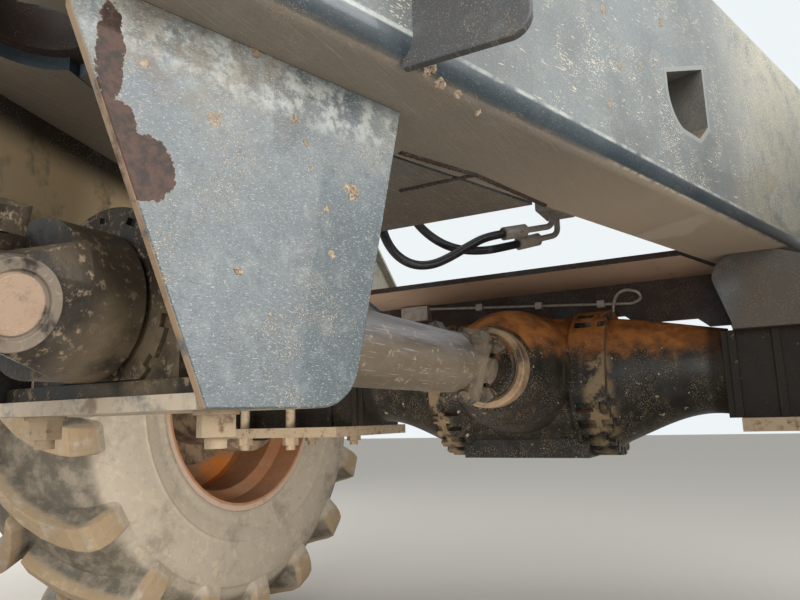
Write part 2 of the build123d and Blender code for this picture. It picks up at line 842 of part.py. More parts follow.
def ears(x, back, upright):
    """Two wide-rooted ears of a fork about the joint at x, with their cap bores."""
    pair = None
    for side in (-1, 1):
        outline = make_face(
            Polyline(
                (0, EAR_R),
                (back * FORK_ROOM, EAR_ROOT),
                (back * FORK_ROOM, -EAR_ROOT),
                (0, -EAR_R),
                close=True,
            )
        )
        ear = extrude(outline, EAR_THICK) + extrude(Circle(EAR_R), EAR_THICK)
        ear = Pos(x, 0, CROSS_TIP - EAR_THICK if side > 0 else -CROSS_TIP) * ear
        pair = ear if pair is None else pair + ear
    pair = pair & rod((x - FORK_ROOM, 0, 0), (x + FORK_ROOM, 0, 0), FORK_ROUND_R)
    pair = pair - rod((x, 0, -CROSS_SPAN), (x, 0, CROSS_SPAN), CAP_R)
    if not upright:
        pair = Rot(90, 0, 0) * pair
    return on_shaft(pair)


def rear_caps():
    """Four round caps of the rear joint, held in the ears' bores."""
    one = cap(REAR_JOINT_X)
    return Compound([on_shaft(Rot(turn, 0, 0) * one).solids()[0] for turn in (0, 90, 180, 270)])


def wing_bolt_places():
    """Places of the two wing bolts about the upper arm."""
    return [(-WING_BOLT_HALF, WING_BOLT_OUT), (WING_BOLT_HALF, WING_BOLT_OUT)]


def wing_outline():
    """Outline of a bearing's wings in y and z, about the upper arm, with cut corners."""
    half = WING_HALF
    cut = WING_CUT
    return [
        (-half, WING_INNER + cut),
        (-half, WING_OUTER - cut),
        (-half + cut, WING_OUTER),
        (half - cut, WING_OUTER),
        (half, WING_OUTER - cut),
        (half, WING_INNER + cut),
        (half - cut, WING_INNER),
        (-half + cut, WING_INNER),
    ]


def wing_plate(x0, x1):
    """Plate of the wings' outline from x0 to x1, with its two bolt holes."""
    with BuildSketch(Plane.YZ) as outline:
        with BuildLine():
            Polyline(*wing_outline(), close=True)
        make_face()
        with Locations(*wing_bolt_places()):
            Circle(WING_BOLT_R, mode=Mode.SUBTRACT)
    return Pos(x0, 0, 0) * extrude(outline.sketch, x1 - x0, dir=(1, 0, 0))


def winged_cap(back):
    """Bearing block on the upper arm of the front joint, its wings turned back or forward."""
    x = FRONT_JOINT_X
    inner = CROSS_TIP - CAP_LONG
    face = x + back * WING_FACE
    low, high = sorted((face, face - back * WING_THICK))
    web_low, web_high = sorted((face, x))
    block_body = block(web_low, web_high, -CAP_R, CAP_R, inner, WING_OUTER)
    body = rod((x, 0, inner), (x, 0, CROSS_TIP), CAP_R) + block_body + wing_plate(low, high)
    return body - rod((x, 0, inner - 1), (x, 0, CROSS_TIP - CAP_END), TRUNNION_R)


def front_caps():
    """Winged bearing blocks of the front joint, two for each flange."""
    blocks = []
    for turn, back in ((90, -1), (270, -1), (0, 1), (180, 1)):
        blocks += on_shaft(Rot(turn, 0, 0) * winged_cap(back)).solids()
    return Compound(blocks)


def joint_flange(back):
    """Flange of the front joint with two pads for the wings, drawn for the upper and lower arms."""
    face = FRONT_JOINT_X + back * WING_FACE
    x0, x1 = sorted((face, face + back * JOINT_FLANGE))
    pad = wing_plate(x0, x1)
    return rod((x0, 0, 0), (x1, 0, 0), JOINT_HUB_R) + pad + Rot(180, 0, 0) * pad


def joint_holes(back):
    """Bars through a flange's four bolt holes."""
    face = FRONT_JOINT_X + back * WING_FACE
    reach = JOINT_FLANGE + 1
    bars = None
    for turn in (0, 180):
        for y, z in wing_bolt_places():
            bar = Rot(turn, 0, 0) * rod((face - reach, y, z), (face + reach, y, z), WING_BOLT_R)
            bars = bar if bars is None else bars + bar
    return bars


def wing_bolts():
    """Eight bolts through flanges and wings, heads on the flanges."""
    bolts = []
    for turn, back in ((90, -1), (270, -1), (0, 1), (180, 1)):
        face = FRONT_JOINT_X + back * WING_FACE
        head = face + back * JOINT_FLANGE
        tip = face - back * WING_THICK
        for y, z in wing_bolt_places():
            x0, x1 = sorted((head, tip))
            h0 = min(head, head + back * WING_HEAD)
            hexagon = Plane(origin=(h0, y, z), z_dir=(1, 0, 0)) * extrude(
                RegularPolygon(WING_HEAD_R, 6), WING_HEAD
            )
            bolt = rod((x0, y, z), (x1, y, z), WING_BOLT_R) + hexagon
            bolts += on_shaft(Rot(turn, 0, 0) * bolt).solids()
    return Compound(bolts)


def stub_yoke():
    """Yoke drum and stub shaft that runs in the centre bearing, up to the tube."""
    turned = spin_x(
        [
            (DRUM_FROM, 0),
            (DRUM_FROM, DRUM_R),
            (DRUM_TO, DRUM_R),
            (DRUM_TO, STUB_R),
            (TUBE_FROM - COLLAR, STUB_R),
            (TUBE_FROM - COLLAR, TUBE_R - COLLAR / 4),
            (TUBE_FROM - COLLAR / 2, TUBE_R),
            (TUBE_FROM, TUBE_R),
            (TUBE_FROM, TUBE_R - TUBE_WALL),
            (TUBE_FROM + TUBE_SPIGOT, TUBE_R - TUBE_WALL),
            (TUBE_FROM + TUBE_SPIGOT, 0),
        ]
    )
    return ears(REAR_JOINT_X, 1, False) + turned


def input_sleeve():
    """Rear fork with its splined sleeve, where the gearbox's shaft slides in."""
    hub_x = REAR_JOINT_X - FORK_ROOM
    flange_x = hub_x - INPUT_HUB
    end_x = hub_x - INPUT_HUB - SLEEVE_LONG
    turned = spin_x(
        [
            (end_x, SPLINE_R),
            (end_x, SLEEVE_R),
            (flange_x, SLEEVE_R),
            (flange_x, DRUM_R - GAP),
            (hub_x, DRUM_R),
            (hub_x, 0),
            (end_x + SPLINE_LONG, 0),
            (end_x + SPLINE_LONG, SPLINE_R),
        ]
    )
    return ears(REAR_JOINT_X, -1, True) + turned


def shaft_tube():
    """Thin-walled tube of the shaft."""
    return spin_x(
        [
            (TUBE_FROM, TUBE_R - TUBE_WALL),
            (TUBE_FROM, TUBE_R),
            (TUBE_TO, TUBE_R),
            (TUBE_TO, TUBE_R - TUBE_WALL),
        ]
    )


def tube_yoke():
    """Flange welded into the tube's front end, for the cross's side arms."""
    face = FRONT_JOINT_X - WING_FACE
    plug = TUBE_R - TUBE_WALL
    spigot = spin_x([(TUBE_TO - TUBE_SPIGOT, 0), (TUBE_TO - TUBE_SPIGOT, plug), (face, plug), (face, 0)])
    flange = Rot(90, 0, 0) * (joint_flange(-1) - joint_holes(-1))
    return on_shaft(flange) + spigot


def pinion_flange():
    """Flange on the pinion with its neck and the round slinger disc."""
    plate = FRONT_JOINT_X + WING_FACE + JOINT_FLANGE
    disc_x = NOSE_X - GAP
    turned = spin_x(
        [
            (plate - JOINT_FLANGE / 2, 0),
            (plate - JOINT_FLANGE / 2, PINION_NECK_R),
            (disc_x - DISC_THICK, PINION_NECK_R),
            (disc_x - DISC_THICK, DISC_R - 3),
            (disc_x - DISC_THICK + 3, DISC_R),
            (disc_x, DISC_R),
            (disc_x, STUB_R),
            (NOSE_X + PINION_LONG, STUB_R),
            (NOSE_X + PINION_LONG, 0),
        ]
    )
    return on_shaft(joint_flange(1) - joint_holes(1)) + turned


def bearing_housing():
    """Cast pedestal that carries the centre bearing on the cradle's floor."""
    x0 = BEARING_X - BEARING_LONG / 2
    x1 = BEARING_X + BEARING_LONG / 2
    arch = rod((x0, 0, SHAFT_Z), (x1, 0, SHAFT_Z), HOUSING_R)
    pedestal = block(x0, x1, -HOUSING_R, HOUSING_R, FLOOR_TOP, SHAFT_Z)
    foot = block(x0 - FOOT_STEP, x1, -FOOT_HALF, FOOT_HALF, FLOOR_TOP, FLOOR_TOP + FOOT_THICK)
    above = block(x0 - 1, x1 + 1, -FOOT_HALF, FOOT_HALF, FLOOR_TOP, SHAFT_Z + 2 * HOUSING_R)
    body = (arch & above) + pedestal + foot
    body = body - rod((x0 - 1, 0, SHAFT_Z), (x1 + 1, 0, SHAFT_Z), BEARING_R)
    for side in (-1, 1):
        y = side * FLOOR_BOLT_Y
        body = body - rod(
            (BEARING_X, y, FLOOR_TOP - 1), (BEARING_X, y, FLOOR_TOP + FOOT_THICK + 1), FLOOR_BOLT_R
        )
    return body


def bearing_ring():
    """Bearing's outer race in the pedestal, with a slotted retaining ring over its face."""
    rear = BEARING_X - BEARING_LONG / 2
    front = BEARING_X + BEARING_LONG / 2
    body = spin_x(
        [
            (RETAINER_X, STUB_R + RUN_FIT),
            (RETAINER_X, RETAINER_R),
            (rear, RETAINER_R),
            (rear, BEARING_R),
            (front, BEARING_R),
            (front, STUB_R + RUN_FIT),
        ]
    )
    floor_gap = block(
        RETAINER_X - 1, rear, -RETAINER_R, RETAINER_R, FLOOR_UNDER, FLOOR_TOP + FOOT_THICK + 1
    )
    slots = [
        Pos(0, 0, SHAFT_Z)
        * Rot(360 / RETAINER_SLOTS * k, 0, 0)
        * block(RETAINER_X - 1, rear, -SLOT_WIDE / 2, SLOT_WIDE / 2, RETAINER_R - SLOT_DEEP, HOUSING_R)
        for k in range(RETAINER_SLOTS)
    ]
    return body - floor_gap - slots


# Axle

def flange_notches(y0, y1):
    """Radial notches about the bolted flanges, left out where the castings are smooth."""
    boxes = []
    for k in range(NOTCHES):
        angle = 360 / NOTCHES * (k + 0.5)
        if NOTCH_SMOOTH[0] < angle < NOTCH_SMOOTH[1]:
            continue
        box = Box(2 * NOTCH_DEEP, y1 - y0, NOTCH_WIDE)
        boxes.append(
            Pos(AXLE_X, (y0 + y1) / 2, AXLE_Z) * Rot(0, -angle, 0) * Pos(FLANGE_R, 0, 0) * box
        )
    return boxes


def axle_centre():
    """Cast centre housing: notched drum about the axle line with a flared nose to the pinion."""
    inner = FLANGE_Y - FLANGE_LONG
    drum = spin_y(
        [
            (-FLANGE_Y, 0),
            (-FLANGE_Y, FLANGE_R),
            (-inner, FLANGE_R),
            (-inner + FLANGE_STEP, DRUM_HOUSING_R),
            (inner - FLANGE_STEP, DRUM_HOUSING_R),
            (inner, FLANGE_R),
            (FLANGE_Y, FLANGE_R),
            (FLANGE_Y, 0),
        ],
        0,
    )
    near = -FLANGE_Y + NOTCH_LIP
    drum = drum - flange_notches(near, near + NOTCH_LONG) - flange_notches(-near - NOTCH_LONG, -near)
    sump = block(
        AXLE_X - SUMP_LONG / 2,
        AXLE_X + SUMP_LONG / 2,
        -SUMP_HALF,
        SUMP_HALF,
        AXLE_Z - SUMP_DROP,
        AXLE_Z,
    )
    flare = [
        (NOSE_X + NOSE_RING, NOSE_R + 6),
        (NOSE_X + 40, 80),
        (NOSE_X + 65, 95),
        (NOSE_X + 95, 106),
        (NOSE_X + 135, 111),
        (AXLE_X - 60, NOSE_FULL_R),
        (AXLE_X, NOSE_FULL_R),
        (AXLE_X + 35, 98),
        (AXLE_X + 70, 60),
    ]
    with BuildSketch() as half:
        with BuildLine():
            curve = Spline(*flare)
            Polyline(curve @ 1, (AXLE_X + 70, 0), (NOSE_X + NOSE_RING, 0), curve @ 0)
        make_face()
    nose = Pos(0, 0, SHAFT_Z) * revolve(half.sketch, Axis.X, 360)
    bore = spin_x(
        [
            (NOSE_X, 0),
            (NOSE_X, STUB_R + RUN_FIT),
            (NOSE_X + PINION_LONG + GAP, STUB_R + RUN_FIT),
            (NOSE_X + PINION_LONG + GAP, 0),
        ]
    )
    plug_end = AXLE_X - FLANGE_R - PLUG_HIGH
    plug = rod((AXLE_X - FLANGE_R / 2, PLUG_Y, AXLE_Z), (plug_end, PLUG_Y, AXLE_Z), PLUG_R)
    return drum + sump + nose + plug - bore


def pinion_ring():
    """Seal carrier bolted on the nose, its lip about the slinger disc."""
    return spin_x(
        [
            (NOSE_X, STUB_R + RUN_FIT),
            (NOSE_X, DISC_R + GAP),
            (NOSE_X - NOSE_LIP, DISC_R + GAP),
            (NOSE_X - NOSE_LIP, NOSE_R - 2),
            (NOSE_X - NOSE_LIP + 2, NOSE_R),
            (NOSE_X + NOSE_RING, NOSE_R),
            (NOSE_X + NOSE_RING, STUB_R + RUN_FIT),
        ]
    )


def arm_section(y, up, down, wide):
    """Oval section of the left arm at y, from its reach above and below the axle line."""
    plane = Plane(origin=(AXLE_X, y, AXLE_Z + (up - down) / 2), x_dir=(1, 0, 0), z_dir=(0, 1, 0))
    return plane * Ellipse(wide, (up + down) / 2)


def axle_arm():
    """Left arm: notched flange, oval waist, ribbed box under the saddle, end flange, spindle."""
    outer = FLANGE_Y + FLANGE_THICK
    flange = spin_y([(FLANGE_Y, 0), (FLANGE_Y, FLANGE_R), (outer, FLANGE_R), (outer, 0)], 0)
    flange = flange - flange_notches(FLANGE_Y + NOTCH_LIP, outer + 1)
    waist = loft(
        [
            arm_section(FLANGE_Y + NOTCH_LIP, 119, 119, 117),
            arm_section(223, 108, 89, 94),
            arm_section(285, 96, 67, 80),
            arm_section(ARM_BOX_Y + 10, 82, 66, 76),
        ]
    )
    half = BOX_LONG / 2
    box = block(AXLE_X - half, AXLE_X + half, ARM_BOX_Y, SADDLE_OUTER_Y + GAP, PAD_UNDER, PAD_TOP)
    for y in RIB_YS:
        reach = half + RIB_HIGH
        rib_y0 = y - RIB_WIDE / 2
        box = box + block(
            AXLE_X - reach, AXLE_X + reach, rib_y0, rib_y0 + RIB_WIDE, PAD_UNDER, PAD_TOP
        )
    end = spin_y(
        [
            (SADDLE_OUTER_Y + GAP, 0),
            (SADDLE_OUTER_Y + GAP, END_NECK_R),
            (END_FLANGE_Y - END_FLANGE_THICK, END_FLANGE_R),
            (END_FLANGE_Y, END_FLANGE_R),
            (END_FLANGE_Y, SPINDLE_R),
            (SPINDLE_END, SPINDLE_R),
            (SPINDLE_END, 0),
        ],
        0,
    )
    plug_x = AXLE_X - LEVEL_PLUG_OUT
    plug = rod((AXLE_X, LEVEL_PLUG_Y, AXLE_Z), (plug_x, LEVEL_PLUG_Y, AXLE_Z), LEVEL_PLUG_R)
    return flange + waist + box + end + plug


# Wheels, each turned about the axle line with its middle plane at half the track

def hub():
    """Left hub: bell over the brake, wheel flange and planetary case."""
    y0 = END_FLANGE_Y + GAP + 6
    disc_y = HALF_TRACK + DISC_OFFSET
    case = disc_y + HUB_CASE_LONG
    return spin_y(
        [
            (y0, SPINDLE_R + RUN_FIT),
            (y0, HUB_BELL_R - 12),
            (y0 + 12, HUB_BELL_R),
            (y0 + 70, HUB_BELL_R),
            (y0 + 90, HUB_WAIST_R),
            (disc_y - 20, HUB_WAIST_R),
            (disc_y - 20, HUB_BELL_R),
            (disc_y, HUB_BELL_R),
            (disc_y, HUB_CASE_R),
            (case - 14, HUB_CASE_R - 6),
            (case, HUB_CASE_R - 30),
            (case, 0),
            (SPINDLE_END + GAP, 0),
            (SPINDLE_END + GAP, SPINDLE_R + RUN_FIT),
        ],
        0,
    )


def rim():
    """Left rim: flanged barrel with a drop centre and a dished disc on the hub's flange."""
    wall = RIM_WALL
    disc_y = DISC_OFFSET
    disc_top = disc_y + DISC_PLATE
    half = RIM_HALF
    well = WELL_R - wall
    outer = [
        (-half, RIM_FLANGE_R),
        (-half + wall, RIM_FLANGE_R),
        (-half + wall + 4, RIM_R),
        (-half + 62, RIM_R - 3),
        (-half + 82, WELL_R),
        (half - 122, WELL_R),
        (half - 92, RIM_R - 3),
        (half - wall - 4, RIM_R),
        (half - wall, RIM_FLANGE_R),
        (half, RIM_FLANGE_R),
        (half, RIM_R - wall),
        (half - 96, RIM_R - 3 - wall),
        (half - 124, well),
        (disc_top, well),
        (disc_top, HUB_CASE_R + 3),
        (disc_y, HUB_CASE_R + 3),
        (disc_y, well - 20),
        (disc_y - 14, well),
        (-half + 84, well),
        (-half + 64, RIM_R - 3 - wall),
        (-half, RIM_R - wall),
    ]
    return spin_y(outer, HALF_TRACK)


def wheel_nuts():
    """Left wheel's studs and nuts on the disc."""
    nuts = []
    y0 = HALF_TRACK + DISC_OFFSET + DISC_PLATE
    for k in range(WHEEL_STUDS):
        a = radians(360 / WHEEL_STUDS * (k + 0.5))
        x = AXLE_X + WHEEL_PCD / 2 * cos(a)
        z = AXLE_Z + WHEEL_PCD / 2 * sin(a)
        place = Plane(origin=(x, y0, z), z_dir=(0, 1, 0))
        hexagon = place * extrude(RegularPolygon(WHEEL_NUT_R, 6), WHEEL_NUT)
        stud = rod((x, y0, z), (x, y0 + WHEEL_NUT + WHEEL_STUD_R, z), WHEEL_STUD_R)
        nuts += (hexagon + stud).solids()
    return Compound(nuts)


def tyre_section():
    """Half-open carcass section: beads, bulging walls and a crowned tread base."""
    base = TYRE_R - LUG_HIGH
    half = TYRE_HALF
    bead = RIM_HALF - RIM_WALL - 4
    seat = RIM_R + 1
    wall = 22.0
    with BuildSketch() as section:
        with BuildLine():
            top = ThreePointArc((-half + 24, base - 18), (0, base), (half - 24, base - 18))
            right = ThreePointArc(
                (half - 24, base - 18), (half, (base + seat) / 2 + 6), (bead, RIM_FLANGE_R + 4)
            )
            Polyline(
                right @ 1, (bead, seat), (bead - 34, seat), (bead - 34, RIM_FLANGE_R + 6)
            )
            inner_r = ThreePointArc(
                (bead - 34, RIM_FLANGE_R + 6),
                (half - wall, (base + seat) / 2 + 6),
                (half - 24 - wall, base - 18 - wall),
            )
            inner_top = ThreePointArc(
                inner_r @ 1, (0, base - wall), (-half + 24 + wall, base - 18 - wall)
            )
            inner_l = ThreePointArc(
                inner_top @ 1, (-half + wall, (base + seat) / 2 + 6), (-bead + 34, RIM_FLANGE_R + 6)
            )
            Polyline(
                inner_l @ 1, (-bead + 34, seat), (-bead, seat), (-bead, RIM_FLANGE_R + 4)
            )
            ThreePointArc(
                (-bead, RIM_FLANGE_R + 4), (-half, (base + seat) / 2 + 6), top @ 0
            )
        make_face()
    return section.sketch


def tread_lug(side):
    """One tractor lug: a bar swept back from the middle line to the shoulder."""
    base = TYRE_R - LUG_HIGH
    half = TYRE_HALF
    lean = tan(radians(LUG_ANGLE))
    inner_y = -12.0 * side
    outer_y = (half - 2) * side
    w = LUG_WIDE / 2
    mid_y = (half - 70) * side
    shift = abs(mid_y - inner_y) * lean
    points = [
        (inner_y, -w),
        (inner_y, w),
        (mid_y, shift + w),
        (outer_y, shift + w + 26),
        (outer_y, shift - w + 8),
        (mid_y, shift - w),
    ]
    face = make_face(Polyline(*points, close=True))
    bar = Pos(0, 0, base - 60) * extrude(face, LUG_HIGH + 120, dir=(0, 0, 1))
    with BuildSketch() as ring:
        with BuildLine():
            top = ThreePointArc((-half + 6, TYRE_R - 14), (0, TYRE_R), (half - 6, TYRE_R - 14))
            Polyline(
                top @ 1,
                (half - 3, base - 52),
                (half - 30, base - 44),
            )
            ThreePointArc((half - 30, base - 44), (0, base - 12), (-half + 30, base - 44))
            Polyline((-half + 30, base - 44), (-half + 3, base - 52), top @ 0)
        make_face()
    band = revolve(ring.sketch, Axis.X, 360)
    return bar & band


def tyre():
    """Left tyre: carcass with two rows of lugs that point the same way forward."""
    carcass = revolve(tyre_section(), Axis.X, 360)
    pitch = 360 / LUG_COUNT
    lugs = []
    for side, stagger in ((-1, 0.0), (1, 0.5)):
        lug = tread_lug(side)
        for k in range(LUG_COUNT):
            lugs.append(Rot(pitch * (k + stagger), 0, 0) * lug)
    body = carcass.fuse(*lugs)
    return Pos(AXLE_X, HALF_TRACK, AXLE_Z) * Rot(0, 0, 90) * body


# Hoses and pipes

# Routes of the two hoses, from their front ferrules to their rear ones
HOSE_A = [
    (736, -61, -131),
    (712, -42, -138),
    (688, -22, -155),
    (662, -2, -175),
    (638, 18, -190),
    (613, 38, -193),
    (591, 55, -180),
    (577, 66, -154),
    (572, 70, -122),
    (571, 71, -90),
]
HOSE_B = [
    (787, -68, -137),
    (762, -48, -146),
    (735, -27, -154),
    (707, -4, -156),
    (681, 17, -150),
    (657, 36, -134),
    (639, 51, -110),
    (626, 61, -80),
    (621, 65, -46),
]
PIPE_X = BEAM_WEB_X - 9.0
BRAKE_PIPE = [
    (PIPE_X, 239, -174),
    (PIPE_X, -196, -207),
    (PIPE_X - 4, -212, -199),
    (PIPE_X - 8, -207, -186),
    (PIPE_X - 8, -184, -179),
    (PIPE_X - 6, -167, -186),
    (PIPE_X - 2, -159, -202),
    (PIPE_X, -156, -227),
]
FRONT_REACH_A = 57.0
FRONT_REACH_B = 42.0
REAR_REACH = 26.0
PORT_BLOCK_X = (794.0, 866.0)
PORT_BLOCK_Y = (-146.0, -98.0)
PORT_BLOCK_Z = (-84.0, -54.0)
PIPE_CLIP_YS = (120.0, -10.0, -135.0)
JUNCTION_Y = (239.0, 304.0)
JUNCTION_Z = (-200.0, -168.0)
JUNCTION_THICK = 24.0
PIPE_UNION_R = 8.0
PIPE_UNION_LONG = 22.0
PORT_INSET = 8.0
PORT_NUT_R = 13.0
PORT_NUT = 18.0


def hose(route):
    """One hose along its route, with its length and bend radii printed."""
    body, length, radii = tube_along(route, HOSE_R)
    print("hose", round(length), "mm, radii", [round(r) for r in radii])
    return body


def bent_union(start, corner, end):
    """Bent steel tube of a hose's end, from its ferrule round one bend."""
    line = FilletPolyline(start, corner, end, radius=UNION_BEND)
    plane = Plane(origin=start, z_dir=Vector(*corner) - Vector(*start))
    return sweep(plane * Circle(UNION_R), path=line)


def ferrule(start, behind):
    """Crimped ferrule in line with the hose's last run; gives its tip and direction too."""
    way = (Vector(*start) - Vector(*behind)).normalized()
    tip = Vector(*start) + way * FERRULE_LONG
    return rod(start, tuple(tip), FERRULE_R), tip, way


def hose_ends():
    """Ferrules and bent tubes at both ends of both hoses."""
    solids = []
    for route, reach in ((HOSE_A, FRONT_REACH_A), (HOSE_B, FRONT_REACH_B)):
        sleeve, tip, way = ferrule(route[0], route[1])
        corner = tip + way * reach
        top = (corner.X, corner.Y, PORT_BLOCK_Z[0])
        tube = bent_union(tuple(tip), tuple(corner), top)
        solids += (sleeve + tube).solids()
    for route in (HOSE_A, HOSE_B):
        sleeve, tip, way = ferrule(route[-1], route[-2])
        corner = tip + way * REAR_REACH
        wall = (TAIL_PLATE_FRONT, corner.Y, corner.Z)
        tube = bent_union(tuple(tip), tuple(corner), wall)
        hexagon = Plane(origin=wall, z_dir=(1, 0, 0)) * extrude(
            RegularPolygon(PORT_NUT_R, 6), PORT_NUT
        )
        solids += (sleeve + tube + hexagon).solids()
    return Compound(solids)


def port_block():
    """Steel port block hung under the ram's cross tube."""
    body = block(*PORT_BLOCK_X, *PORT_BLOCK_Y, *PORT_BLOCK_Z)
    hanger = block(
        PORT_BLOCK_X[0] + PORT_INSET,
        RAM_BEAM_X + RAM_BEAM_SIZE / 2 - PORT_INSET,
        PORT_BLOCK_Y[0] + PORT_INSET,
        PORT_BLOCK_Y[1] - PORT_INSET,
        PORT_BLOCK_Z[1],
        RAM_BEAM_Z - RAM_BEAM_SIZE / 2,
    )
    return body + hanger


def brake_junction():
    """Junction block on the beam's web, and the union on the right arm's flange."""
    junction = block(BEAM_WEB_X - JUNCTION_THICK, BEAM_WEB_X, *JUNCTION_Y, *JUNCTION_Z)
    x, y, z = BRAKE_PIPE[-1]
    union = rod((x, y, z - PIPE_UNION_LONG), (x, y, z), PIPE_UNION_R)
    return Compound([junction.solids()[0], (union - other_side(axle_arm())).solids()[0]])


def pipe_clips():
    """Clips that hold the brake pipe's straight run to the beam's web."""
    pipe, _, _ = tube_along(BRAKE_PIPE, PIPE_R + 0.1)
    _, y0, z0 = BRAKE_PIPE[0]
    _, y1, z1 = BRAKE_PIPE[1]
    half = CLIP_HALF
    clips = []
    for y in PIPE_CLIP_YS:
        z = z0 + (z1 - z0) * (y - y0) / (y1 - y0)
        rear = PIPE_X - CLIP_HALF
        clip = block(rear, BEAM_WEB_X, y - half, y + half, z - half, z + half)
        clips += (clip - pipe).solids()
    return Compound(clips)


def main():
    os.makedirs("parts", exist_ok=True)
    left_rail = rail()
    left_saddle = saddle()
    left_arm = axle_arm()
    left_tyre = tyre()
    left_rim = rim()
    left_hub = hub()
    left_nuts = wheel_nuts()
    side_plate = cradle_side()
    pieces = {
        "rail_left": left_rail,
        "rail_right": other_side(left_rail),
        "window_liners": both(window_liner()),
        "king_lug_lower": king_lug(LOWER_LUG_Z, LOWER_LUG_INSET),
        "king_lug_upper": king_lug(UPPER_LUG_Z, 0),
        "lug_bulkhead": lug_bulkhead(),
        "tail_plate_lower": between_rails(
            TAIL_PLATE_REAR, TAIL_PLATE_FRONT, LOWER_FLANGE, RAIL_BOTTOM, RAIL_BOTTOM + PLATE
        ),
        "tail_plate_upper": between_rails(
            TAIL_PLATE_REAR, TAIL_PLATE_FRONT, UPPER_FLANGE, RAIL_TOP - PLATE, RAIL_TOP
        ),
        "front_bulkhead": front_bulkhead(),
        "axle_beam": axle_beam(),
        "saddle_left": left_saddle,
        "saddle_right": other_side(left_saddle),
        "clamp_plates": both(clamp()),
        "clamp_studs": both(studs()),
        "ram_beam": ram_beam(),
        "ram_ears": ram_ears(),
        "front_cross_tube": front_tube(),
        "skip_pivot_bosses": both(skip_boss()),
        "steering_ears": steer_ears(),
        "cradle_side_left": side_plate,
        "cradle_side_right": other_side(side_plate),
        "cradle_floor": cradle_floor(),
        "floor_bolts": floor_bolts(),
        "step_brackets": both(step_bracket()),
        "bearing_housing": bearing_housing(),
        "bearing_ring": bearing_ring(),
        "axle_centre": axle_centre(),
        "pinion_ring": pinion_ring(),
        "axle_arm_left": left_arm,
        "axle_arm_right": other_side(left_arm),
        "input_sleeve": input_sleeve(),
        "rear_cross": joint_cross(REAR_JOINT_X),
        "rear_caps": rear_caps(),
        "stub_yoke": stub_yoke(),
        "shaft_tube": shaft_tube(),
        "tube_yoke": tube_yoke(),
        "front_cross": joint_cross(FRONT_JOINT_X),
        "front_caps": front_caps(),
        "wing_bolts": wing_bolts(),
        "pinion_flange": pinion_flange(),
        "hub_left": left_hub,
        "hub_right": other_side(left_hub),
        "rim_left": left_rim,
        "rim_right": other_side(left_rim),
        "wheel_nuts_left": left_nuts,
        "wheel_nuts_right": other_side(left_nuts),
        "hose_a": hose(HOSE_A),
        "hose_b": hose(HOSE_B),
        "hose_ends": hose_ends(),
        "port_block": port_block(),
        "brake_pipe": tube_along(BRAKE_PIPE, PIPE_R)[0],
        "brake_junction": brake_junction(),
        "pipe_clips": pipe_clips(),
        "tyre_left": left_tyre,
        "tyre_right": other_side(left_tyre),
    }
    for name, shape in pieces.items():
        export_step(shape, f"parts/{name}.step")


main()
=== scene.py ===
import json
import math
import random

import bmesh
import bpy
from mathutils import Matrix, Vector


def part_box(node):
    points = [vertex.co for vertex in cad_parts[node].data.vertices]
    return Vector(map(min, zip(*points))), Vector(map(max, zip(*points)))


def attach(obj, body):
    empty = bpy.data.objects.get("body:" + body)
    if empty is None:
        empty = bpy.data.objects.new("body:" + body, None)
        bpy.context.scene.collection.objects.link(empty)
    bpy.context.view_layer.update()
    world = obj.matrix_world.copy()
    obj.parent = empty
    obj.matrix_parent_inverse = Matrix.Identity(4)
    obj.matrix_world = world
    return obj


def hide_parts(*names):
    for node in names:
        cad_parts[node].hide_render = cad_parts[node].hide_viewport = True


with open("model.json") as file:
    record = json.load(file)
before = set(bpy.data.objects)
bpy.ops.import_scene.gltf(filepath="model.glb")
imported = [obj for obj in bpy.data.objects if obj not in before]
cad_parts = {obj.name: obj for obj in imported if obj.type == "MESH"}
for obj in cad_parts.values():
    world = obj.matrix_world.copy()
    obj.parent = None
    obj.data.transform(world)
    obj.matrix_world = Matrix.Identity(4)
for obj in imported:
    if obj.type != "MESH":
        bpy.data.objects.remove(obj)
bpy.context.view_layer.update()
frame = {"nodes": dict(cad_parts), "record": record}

# Looks of a dumper's front underframe: scratched paint, mud, rust, ochre dust, lugged tyres.
# Metres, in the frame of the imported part: +X forward, +Y left, +Z up.

# Camera, fitted to the photograph's view from under the machine's right side
CAMERA_AT = Vector((-0.2405, -0.3894, -0.4147))
CAMERA_YAW = math.radians(27.86)
CAMERA_PITCH = math.radians(10.15)
CAMERA_ROLL = math.radians(-1.55)
FOCAL_PIXELS = 664.7
FRAME_PIXELS = 800
SENSOR = 36.0
NEAREST_SEEN = 0.01

# Places read from the frame
SHAFT_LOW, SHAFT_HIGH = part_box("shaft_tube")
TYRE_LOW, TYRE_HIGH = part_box("tyre_left")
SHAFT_Z = (SHAFT_LOW.z + SHAFT_HIGH.z) / 2
AXLE = Vector(((TYRE_LOW.x + TYRE_HIGH.x) / 2, 0, (TYRE_LOW.z + TYRE_HIGH.z) / 2))
HALF_TRACK = (TYRE_LOW.y + TYRE_HIGH.y) / 2
GROUND_Z = TYRE_LOW.z

